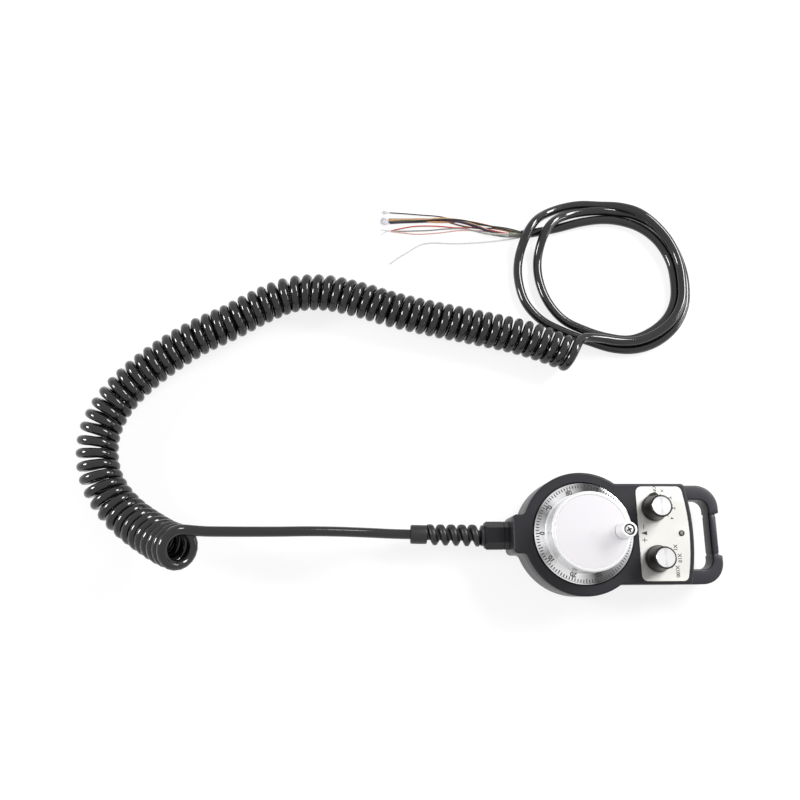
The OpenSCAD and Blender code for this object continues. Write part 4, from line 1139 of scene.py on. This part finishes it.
def build_relief(scene):
    """The sleeve and the one rib that winds round the cord, leaning a little to one side."""
    cord_r = scene.cord.diameter / MM / 2
    start, end = RELIEF_HIGH.x, RELIEF_LOW.x
    sleeve_r = (RELIEF_HIGH.z - RELIEF_LOW.z) / 2 - 1.3
    core_r, sleeve = cord_r + 0.4, 13.4
    body = turned("relief_sleeve", [
        (cord_r - 0.1, end + 0.4), (cord_r + 0.4, end + 0.1), (sleeve_r - 0.9, end),
        (sleeve_r - 0.3, end + 0.2),
        (sleeve_r - 0.05, end + 0.8), (sleeve_r, end + 6), (sleeve_r - 0.05, end + sleeve - 1),
        (sleeve_r - 0.35, end + sleeve - 0.3), (sleeve_r - 1, end + sleeve),
        (core_r + 0.3, end + sleeve + 0.2), (core_r, end + sleeve + 0.6), (core_r, start - 3.2),
        (sleeve_r - 0.3, start - 2.8), (sleeve_r + 0.7, start - 2.2), (sleeve_r + 0.7, start - 0.05),
        (cord_r - 0.1, start - 0.05),
    ], (0, 0, GLAND_Z), "X", 64)
    turns, steps = 5, 32
    foot, pitch = 3.0, (start - end - sleeve - 3.0) / 5
    rises = [-0.4, 0.3, 0.62, 0.84, 0.96, 1.0, 1.0, 0.96, 0.84, 0.62, 0.3, -0.4]
    blunt = [-3.1, -3.0, -2.8, -2.4, -1.7, -0.6, 0.6, 1.7, 2.4, 2.8, 3.0, 3.1]
    sharp = [-4.0, -3.1, -2.35, -1.75, -1.2, -0.4, 0.4, 1.2, 1.75, 2.35, 3.1, 4.0]
    rings = []
    for index in range(turns * steps + 1):
        share, angle = index / (turns * steps), math.radians(360 * index / steps - 180)
        crest, point = 9.0 - 0.6 * share, 0.5 - 0.5 * math.sin(angle)
        ring = []
        for rise, wide, narrow in zip(rises, blunt, sharp):
            radius = core_r + (crest - core_r) * rise
            distance = foot + pitch * index / steps + wide + (narrow - wide) * point
            ring.append((start - distance, radius * math.sin(angle), GLAND_Z + radius * math.cos(angle)))
        rings.append(ring)
    rib = swept("relief_rib", rings)
    smooth(body, 35)
    smooth(rib, 45, weighted=False)
    relief = joined("strain_relief", [body, rib])
    with editing(relief):
        bpy.ops.transform.rotate(
            value=math.radians(1.2), orient_axis="Z", center_override=Vector((start, 0, GLAND_Z)) * MM)
    return relief


# ---- cord and wires ----


def curve_through(points, spacing):
    """A smooth path through points, with its own points evenly spaced."""
    knots = [Vector(p) for p in points]
    knots = [2 * knots[0] - knots[1]] + knots + [2 * knots[-1] - knots[-2]]
    fine = []
    for before, start, end, after in zip(knots, knots[1:], knots[2:], knots[3:]):
        for step in range(24):
            t = step / 24
            fine.append(0.5 * (
                2 * start + (end - before) * t + (2 * before - 5 * start + 4 * end - after) * t**2
                + (3 * start - before - 3 * end + after) * t**3
            ))
    fine.append(knots[-2])
    total = sum((b - a).length for a, b in zip(fine, fine[1:]))
    wanted = max(2, round(total / spacing))
    path, run, index = [fine[0]], 0.0, 0
    for step in range(1, wanted):
        target = total * step / wanted
        while run + (fine[index + 1] - fine[index]).length < target:
            run += (fine[index + 1] - fine[index]).length
            index += 1
        part = (target - run) / (fine[index + 1] - fine[index]).length
        path.append(fine[index].lerp(fine[index + 1], part))
    return path + [fine[-1]]


def coil_path(cord):
    """The left-handed coil, a little wider at its raised end and more open where its own line bends."""
    wide, slim, diameter = cord.raised_radius / MM, cord.coil_radius / MM, cord.diameter / MM
    axis = curve_through(COIL, 1.0)
    count_of = len(axis)
    headings = [
        (axis[min(i + 3, count_of - 1)] - axis[max(i - 3, 0)]).normalized() for i in range(count_of)
    ]
    radii, rates = [], []
    for i in range(count_of):
        radius = slim + (wide - slim) * max(0, 1 - i / (0.45 * count_of))
        axis[i].z = max(axis[i].z + radius - CAD_COIL_RADIUS, radius + diameter / 2)
        before, after = headings[max(i - 6, 0)], headings[min(i + 6, count_of - 1)]
        bend = before.angle(after) / (min(i + 6, count_of - 1) - max(i - 6, 0))
        rates.append(1 / max(1.02 * diameter, diameter / (1 - min(0.4, 0.55 * bend * radius))))
        radii.append(radius)
    first, last = math.radians(189), math.radians(360 * (cord.turns + 1) - 55)
    scale = (last - first) / sum(rates[:-1])
    phase, path = first, []
    step = 2 * math.pi / cord.points
    target = first
    for i in range(count_of - 1):
        gain = rates[i] * scale
        while target <= phase + gain:
            part = (target - phase) / gain
            centre = axis[i].lerp(axis[i + 1], part)
            along = headings[i].lerp(headings[i + 1], part).normalized()
            side = Vector((0, 0, 1)).cross(along).normalized()
            up = along.cross(side)
            path.append(centre + radii[i] * (math.cos(target) * side - math.sin(target) * up))
            target += step
        phase += gain
    return path


def build_cord(scene):
    """The whole cord as one line: the lead, the coil and the tail loops."""
    coil = coil_path(scene.cord)
    lead = curve_through(LEAD + [coil[0], coil[1]], 4.0)
    lead = [p for p in lead if (p - coil[0]).length > 2.5 and p.x > coil[0].x + 1.0]
    tail = curve_through([coil[-2], coil[-1]] + TAIL, 4.0)
    tail = [p for p in tail[1:] if (p - coil[-1]).length > 2.0 and (p - coil[-2]).length > 3.0]
    path = lead + coil + tail
    cord = line("cord", path)
    cord.data.bevel_depth = scene.cord.diameter / 2
    cord.data.bevel_resolution = 4
    cord.data.use_fill_caps = True
    return cord, sum((b - a).length for a, b in zip(path, path[1:])) * MM


WIRES = [
    ("wire_orange", (0.58, 0.27, 0.12), 1.05, [
        (-49, 274.4, 4.2), (-58, 276, 4.4), (-70, 279, 4.3), (-84, 283.5, 3.5), (-100, 286.9, 2.5),
        (-118, 286.6, 1.6), (-134, 286.6, 1.5), (-150, 288.4, 1.4), (-172, 287.8, 1.2),
    ]),
    ("wire_purple", (0.085, 0.03, 0.07), 0.95, [
        (-49, 273.6, 4.5), (-60, 274.5, 4.2), (-74, 275.9, 2.7), (-90, 280.4, 2.4), (-104, 285.3, 2.3),
        (-122, 288.5, 1.6), (-138, 287.9, 1.5), (-156, 287.5, 1.2), (-172, 286.7, 1),
    ]),
    ("wire_brown", (0.15, 0.06, 0.03), 0.95, [
        (-49, 274.9, 3.6), (-60, 277, 3), (-76, 280.5, 2.4), (-92, 280.7, 1.9), (-108, 283.5, 1.6),
        (-124, 288.2, 1.4), (-140, 289.4, 1.3), (-156, 289, 1.2), (-173, 288.7, 1),
    ]),
    ("wire_olive", (0.1, 0.11, 0.055), 0.9, [
        (-49, 274.7, 4.8), (-62, 277.8, 4.8), (-78, 281.7, 3.9), (-96, 285, 2.7), (-112, 288.9, 2.3),
        (-128, 290, 1.7), (-146, 287.5, 2.1), (-160, 286.6, 1.6), (-173, 286, 1.2),
    ]),
    ("wire_tan", (0.55, 0.36, 0.2), 1.05, [
        (-49, 273.9, 3.4), (-62, 275.5, 2.7), (-76, 277.7, 1.8), (-90, 282, 3.3), (-106, 287.8, 2.9),
        (-122, 290.1, 2), (-140, 288.6, 2.3), (-158, 288.3, 1.8), (-173, 287.3, 1.3),
    ]),
    ("wire_black", (0.012, 0.01, 0.01), 0.95, [
        (-49, 274.2, 5.2), (-60, 276.7, 5.4), (-76, 280.7, 5), (-92, 284.7, 4.1), (-108, 288.1, 3.4),
        (-126, 288.3, 2.8), (-142, 287.1, 2.4), (-158, 286.1, 1.6), (-173, 285.4, 1.2),
    ]),
    ("wire_violet", (0.045, 0.03, 0.06), 0.9, [
        (-49, 273.3, 3.7), (-62, 274.3, 3.4), (-78, 276.7, 3.1), (-94, 282.5, 4), (-110, 286.5, 3.7),
        (-126, 287.2, 1.3), (-144, 286.2, 1.3), (-160, 285.4, 1.2), (-172, 284.6, 1),
    ]),
    ("wire_dark", (0.05, 0.028, 0.028), 0.75, [
        (-49, 275.9, 4.2), (-64, 280.4, 3.6), (-84, 283.6, 2.2), (-104, 286.2, 1.2),
        (-124, 291.8, 1.2), (-146, 293.6, 1.1), (-160, 294.6, 1), (-172, 295.2, 0.9),
    ]),
    ("wire_grey", (0.27, 0.27, 0.27), 0.85, [
        (-49, 272.4, 4.3), (-66, 272.6, 2.2), (-86, 276.4, 1.2), (-104, 280.5, 1), (-121, 280, 0.9),
        (-138, 278.2, 0.9), (-162, 277, 0.9), (-170, 277, 0.9),
    ]),
    ("wire_red", (0.5, 0.06, 0.05), 0.8, [
        (-49, 273, 5), (-68, 275.8, 3.8), (-90, 281, 1.8), (-112, 281.4, 0.9), (-128, 282.6, 0.9),
        (-148, 282.2, 0.9), (-162, 279.6, 0.9), (-171, 277.2, 0.9),
    ]),
    ("wire_white_red", (0.66, 0.4, 0.37), 0.75, [
        (-49, 274.8, 2.6), (-66, 276.6, 1.2), (-88, 278.6, 0.9), (-108, 278.8, 0.8),
        (-126, 276.2, 0.8), (-146, 274.4, 0.8), (-160, 275.4, 0.8), (-171, 276.6, 0.8),
    ]),
    ("drain_wire", (0.74, 0.73, 0.71), 0.9, [
        (-49, 272.6, 2.8), (-60, 271, 1.2), (-76, 268.6, 1), (-97, 266.4, 0.9), (-116, 265.6, 0.9),
        (-132, 265.9, 0.9), (-142, 264.6, 0.9), (-150, 260.5, 0.9), (-157, 255.6, 0.9),
        (-165, 250.4, 0.9), (-172.5, 244.5, 0.9),
    ]),
    ("shield_stub", (0.2, 0.21, 0.17), 2.9, [
        (-50, 273.6, 4), (-56, 273.8, 4), (-63, 274, 3.6),
    ]),
    ("shield_strand", (0.42, 0.43, 0.38), 1.5, [
        (-56, 274.2, 5.2), (-66, 274, 4.2), (-76, 274.6, 3), (-86, 276, 2.2),
    ]),
]


def tube(name, points, radius):
    """A round wire along a path, closed at its ends."""
    wire = line(name, points)
    wire.data.bevel_depth = radius * MM
    wire.data.bevel_resolution = 2
    wire.data.use_fill_caps = True
    bpy.ops.object.convert(target="MESH")
    return smooth(wire, 60, weighted=False)


def build_wires():
    """The stripped wires, laid along the bench from the end of the jacket."""
    return [
        (tube(name, curve_through(points, 2.0), radius / 1.25), shade)
        for name, shade, radius, points in WIRES
    ]


UNTIPPED = ("drain_wire", "shield_stub", "shield_strand", "wire_white_red")
TWISTED_TIPS = {
    "wire_red": [(-4, 0.3, 0), (-9.5, 0.8, 0)],
    "wire_grey": [(-5.5, -0.3, 0), (-10.5, -4.2, 0)],
}


def build_tips():
    """Bare strands at the ends of the stripped wires, twisted on two and fanned out on the rest."""
    tips = []
    for name, _, _, points in WIRES:
        if name in UNTIPPED:
            continue
        end = Vector(points[-1])
        if name in TWISTED_TIPS:
            tips.append(tube("tip", [end, *(end + Vector(step) for step in TWISTED_TIPS[name])], 0.45))
            continue
        heading = (end - Vector(points[-2])).normalized()
        across = Vector((-heading.y, heading.x, 0))
        for strand in range(-2, 3):
            reach = 8.0 - 0.9 * abs(strand) - (0.8 if strand % 2 else 0)
            tips.append(tube("tip", [
                end - heading * 0.5, end + heading * reach * 0.45 + across * strand * 0.25,
                end + heading * reach + across * strand * 0.95 + Vector((0, 0, 0.4 * (strand % 2))),
            ], 0.36))
    return joined("bare_tips", tips)


# ---- operators ----


FINISHES = {}

# Place and turn of the camera, in metres and degrees; way and soft edge of the overhead panel
CAMERA_PLACE = (-0.19995, -0.04840, 0.67424)
CAMERA_TURN = (13.8666, -2.9750, -0.3804)
PANEL_WAY = Vector((0.18, 0.05, 0.6)).normalized()
PANEL_OUTER, PANEL_INNER = math.cos(math.radians(30)), math.cos(math.radians(16))


class HANDWHEEL_OT_finishes(bpy.types.Operator):
    """Makes the finishes and gives one to every part of the frame"""

    bl_idname = "handwheel.finishes"
    bl_label = "Finishes"

    def execute(self, context):
        FINISHES.update(make_finishes(context.scene))
        for name, node in frame["nodes"].items():
            for slot in node.material_slots:
                if slot.material.name.split(".")[0] not in FINISHES:
                    raise RuntimeError(f"{name} has no finish for {slot.material.name}")
                slot.material = FINISHES[slot.material.name.split(".")[0]]
        return {"FINISHED"}


class HANDWHEEL_OT_stage(bpy.types.Operator):
    """Lays the floor and sets up the lamps and the camera"""

    bl_idname = "handwheel.stage"
    bl_label = "Stage"

    def execute(self, context):
        stage = context.scene.stage
        bpy.ops.object.select_all(action="DESELECT")
        bpy.ops.mesh.primitive_plane_add(size=12, location=(0, 0, -0.0002))
        floor = context.object
        floor.name = "floor"
        finish = Finish("floor_paper")
        shader = finish.node("ShaderNodeBsdfPrincipled", {}, {
            "Base Color": opaque(stage.floor), "Roughness": 0.9, "Specular IOR Level": 0.0})
        glow = finish.node("ShaderNodeEmission", {}, {"Color": (1, 1, 1, 1), "Strength": 1.08})
        finish.node("ShaderNodeOutputMaterial", {}, {
            "Surface": finish.node("ShaderNodeMixShader", {}, {
                0: finish.seen() * stage.glow, 1: shader, 2: glow})})
        floor.data.materials.append(finish.made)
        self.lamp("key_lamp", (0.83, 0.73, 0.92), (-0.15, 0.1, 0), (0.75, 0.35), stage.key)
        self.lamp("fill_lamp", (-1.38, 0.24, 0.59), (-0.15, 0.1, 0), (0.35, 0.3), stage.fill)
        self.lamp("rim_lamp", (1.35, 0.2, 0.36), (-0.05, 0.1, 0), (0.5, 0.25), stage.rim)
        self.studio(context)
        bpy.ops.object.camera_add(
            location=CAMERA_PLACE, rotation=[math.radians(angle) for angle in CAMERA_TURN],
        )
        camera = context.object
        camera.name = "camera"
        camera.data.lens = 36
        camera.data.sensor_width = 36
        camera.data.clip_start = 0.01
        context.scene.camera = camera
        context.scene.view_settings.view_transform = "Standard"
        return {"FINISHED"}

    def lamp(self, name, place, target, size, power):
        """A rectangular lamp that looks at a target."""
        bpy.ops.object.light_add(type="AREA", location=place)
        lamp = bpy.context.object
        lamp.name = name
        lamp.data.shape = "RECTANGLE"
        lamp.data.size, lamp.data.size_y = size
        lamp.data.energy = power
        lamp.rotation_euler = (Vector(target) - Vector(place)).to_track_quat("-Z", "Y").to_euler()

    def studio(self, context):
        """A dim studio with a soft panel overhead, and white behind the object."""
        stage = context.scene.stage
        finish = Finish("studio", "worlds")
        context.scene.world = finish.made
        way = finish.node("ShaderNodeTexCoord", output="Generated")
        towards = finish.node(
            "ShaderNodeVectorMath", {"operation": "DOT_PRODUCT"},
            {0: way, 1: PANEL_WAY}, "Value")
        panel = finish.node("ShaderNodeMapRange", {"interpolation_type": "SMOOTHSTEP"}, {
            "Value": towards, "From Min": PANEL_OUTER, "From Max": PANEL_INNER,
            "To Min": stage.ambient, "To Max": stage.overhead})
        strength = finish.maths("MAXIMUM", panel, finish.seen())
        shader = finish.node("ShaderNodeBackground", {}, {"Color": (1, 1, 1, 1), "Strength": strength})
        finish.node("ShaderNodeOutputWorld", {}, {"Surface": shader})


class HANDWHEEL_OT_cord(bpy.types.Operator):
    """Lays the cord, its strain relief and the stripped wires"""

    bl_idname = "handwheel.cord"
    bl_label = "Cord"

    def execute(self, context):
        scene = context.scene
        relief = finish_piece(build_relief(scene), "pendant", "relief_rubber", ["strain_relief"])
        wires = []
        for wire, shade in build_wires():
            nodes = ["stripped_wires"] if not wires else []
            bare = wire.name == "drain_wire"
            finish = brushed_metal("tinned_braid", shade) if bare else insulation(wire.name, shade)
            wires.append(finish_piece(wire, "pendant", "wire_insulation", nodes, finish))
        tips = brushed_metal("tinned_copper", (0.60, 0.57, 0.61), 0.5)
        wires.append(finish_piece(build_tips(), "pendant", "wire_insulation", (), tips))
        cord, whole = build_cord(scene)
        finish_piece(cord, "pendant", "cord_jacket", ["cord_lead", "cord_coil", "cord_tail"])
        return {"FINISHED"}


class HANDWHEEL_OT_housing(bpy.types.Operator):
    """Models the casing with its carrying loop and the cover"""

    bl_idname = "handwheel.housing"
    bl_label = "Housing"

    def execute(self, context):
        scene = context.scene
        casing, loop = build_casing(scene)
        finish_piece(casing, "pendant", "casing", ["back_casing"])
        finish_piece(loop, "pendant", "casing")
        finish_piece(build_cover(scene), "pendant", "cover", ["front_cover"])
        return {"FINISHED"}


class HANDWHEEL_OT_screws(bpy.types.Operator):
    """Models one recessed screw of the back and copies it to the others"""

    bl_idname = "handwheel.screws"
    bl_label = "Screws"

    def execute(self, context):
        low, high = extent("housing_screws")
        places = screw_places()
        first = pan_head("housing_screw_1", Vector((*places[0], 0)), low.z + 2, 2.8, 2, -1)
        screws = [first]
        for index, (x, y) in enumerate(places[1:], 2):
            move = (x - places[0][0], y - places[0][1], 0)
            screws.append(copied(first, f"housing_screw_{index}", move))
        for index, screw in enumerate(screws):
            nodes = ["housing_screws"] if index == 0 else []
            finish_piece(screw, "pendant", "steel_screw", nodes)
        return {"FINISHED"}


class HANDWHEEL_OT_label(bpy.types.Operator):
    """Models the printed plate, its marks and the lamp"""

    bl_idname = "handwheel.label"
    bl_label = "Label"

    def execute(self, context):
        scene = context.scene
        finish_piece(build_label(scene), "pendant", "label", ["label_plate"])
        finish_piece(build_label_marks(scene), "pendant", "label", (), FINISHES["ink"])
        bezel, lens = build_lamp()
        finish_piece(bezel, "pendant", "dark_metal", ["lamp_bezel"])
        finish_piece(lens, "pendant", "lamp_lens", ["lamp"])
        return {"FINISHED"}


class HANDWHEEL_OT_wheel(bpy.types.Operator):
    """Models the graduated handwheel, its face and its marks"""

    bl_idname = "handwheel.wheel"
    bl_label = "Handwheel"

    def execute(self, context):
        scene = context.scene
        finish_piece(build_handwheel(scene), "wheel", "turned_aluminium", ["handwheel"])
        finish_piece(build_wheel_face(), "wheel", "polished_face", ["wheel_face"])
        finish_piece(build_dial_marks(scene), "wheel", "turned_aluminium", (), FINISHES["dial_ink"])
        return {"FINISHED"}


class HANDWHEEL_OT_crank(bpy.types.Operator):
    """Models the turning knob of the handwheel"""

    bl_idname = "handwheel.crank"
    bl_label = "Crank"

    def execute(self, context):
        knob, washer, screw, recess, cross = build_crank(context.scene)
        finish_piece(knob, "crank", "crank_aluminium", ["crank_knob"])
        finish_piece(washer, "wheel", "washer_nylon", ["crank_washer"])
        finish_piece(screw, "wheel", "steel_screw", ["crank_screw"])
        # The liner and the cross are painted shade, in dark metal
        finish_piece(recess, "crank", "crank_aluminium", (), FINISHES["dark_metal"])
        finish_piece(cross, "wheel", "steel_screw", (), FINISHES["dark_metal"])
        return {"FINISHED"}


class HANDWHEEL_OT_knobs(bpy.types.Operator):
    """Models the two selector knobs and their caps"""

    bl_idname = "handwheel.knobs"
    bl_label = "Selector knobs"

    def execute(self, context):
        scene = context.scene
        for name, middle, pointing, metal in (
            ("axis", AXIS, 90, "cap_aluminium"), ("multiplier", MULTIPLIER, 30, "multiplier_cap"),
        ):
            body = f"{name}_selector"
            knob = build_knob(scene, f"{name}_knob", middle, pointing)
            finish_piece(knob, body, "knob_plastic", [f"{name}_knob"])
            cap = build_cap(scene, f"{name}_cap", middle)
            finish_piece(cap, body, "cap_aluminium", [f"{name}_cap"], FINISHES[metal])
        return {"FINISHED"}


class HANDWHEEL_OT_gland(bpy.types.Operator):
    """Models the gland where the cord leaves the housing"""

    bl_idname = "handwheel.gland"
    bl_label = "Gland"

    def execute(self, context):
        collar, nut = build_gland()
        finish_piece(collar, "pendant", "gland_nylon", ["gland_body"])
        finish_piece(nut, "pendant", "gland_nylon", ["gland_cap_nut"])
        return {"FINISHED"}


class HANDWHEEL_PT_panel(bpy.types.Panel):
    """Lists the handwheel's pieces in the sidebar."""

    bl_idname = "HANDWHEEL_PT_panel"
    bl_label = "Handwheel"
    bl_space_type = "VIEW_3D"
    bl_region_type = "UI"
    bl_category = "Handwheel"

    def draw(self, context):
        for operator in OPERATORS:
            self.layout.operator(operator.bl_idname)


SETTINGS = {
    "housing": HousingSettings,
    "handle": HandleSettings,
    "label": LabelSettings,
    "wheel": WheelSettings,
    "switches": SwitchSettings,
    "cord": CordSettings,
    "stage": StageSettings,
}
OPERATORS = [
    HANDWHEEL_OT_finishes,
    HANDWHEEL_OT_stage,
    HANDWHEEL_OT_cord,
    HANDWHEEL_OT_housing,
    HANDWHEEL_OT_screws,
    HANDWHEEL_OT_label,
    HANDWHEEL_OT_wheel,
    HANDWHEEL_OT_crank,
    HANDWHEEL_OT_knobs,
    HANDWHEEL_OT_gland,
]


def register():
    for group in SETTINGS.values():
        bpy.utils.register_class(group)
    for name, group in SETTINGS.items():
        setattr(bpy.types.Scene, name, bpy.props.PointerProperty(type=group))
    for operator in OPERATORS:
        bpy.utils.register_class(operator)
    bpy.utils.register_class(HANDWHEEL_PT_panel)


def unregister():
    bpy.utils.unregister_class(HANDWHEEL_PT_panel)
    for operator in reversed(OPERATORS):
        bpy.utils.unregister_class(operator)
    for name in SETTINGS:
        delattr(bpy.types.Scene, name)
    for group in reversed(SETTINGS.values()):
        bpy.utils.unregister_class(group)


def main():
    """Builds every piece in order."""
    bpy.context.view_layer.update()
    register()
    for operator in OPERATORS:
        category, name = operator.bl_idname.split(".")
        getattr(getattr(bpy.ops, category), name)()


if __name__ == "__main__":
    main()
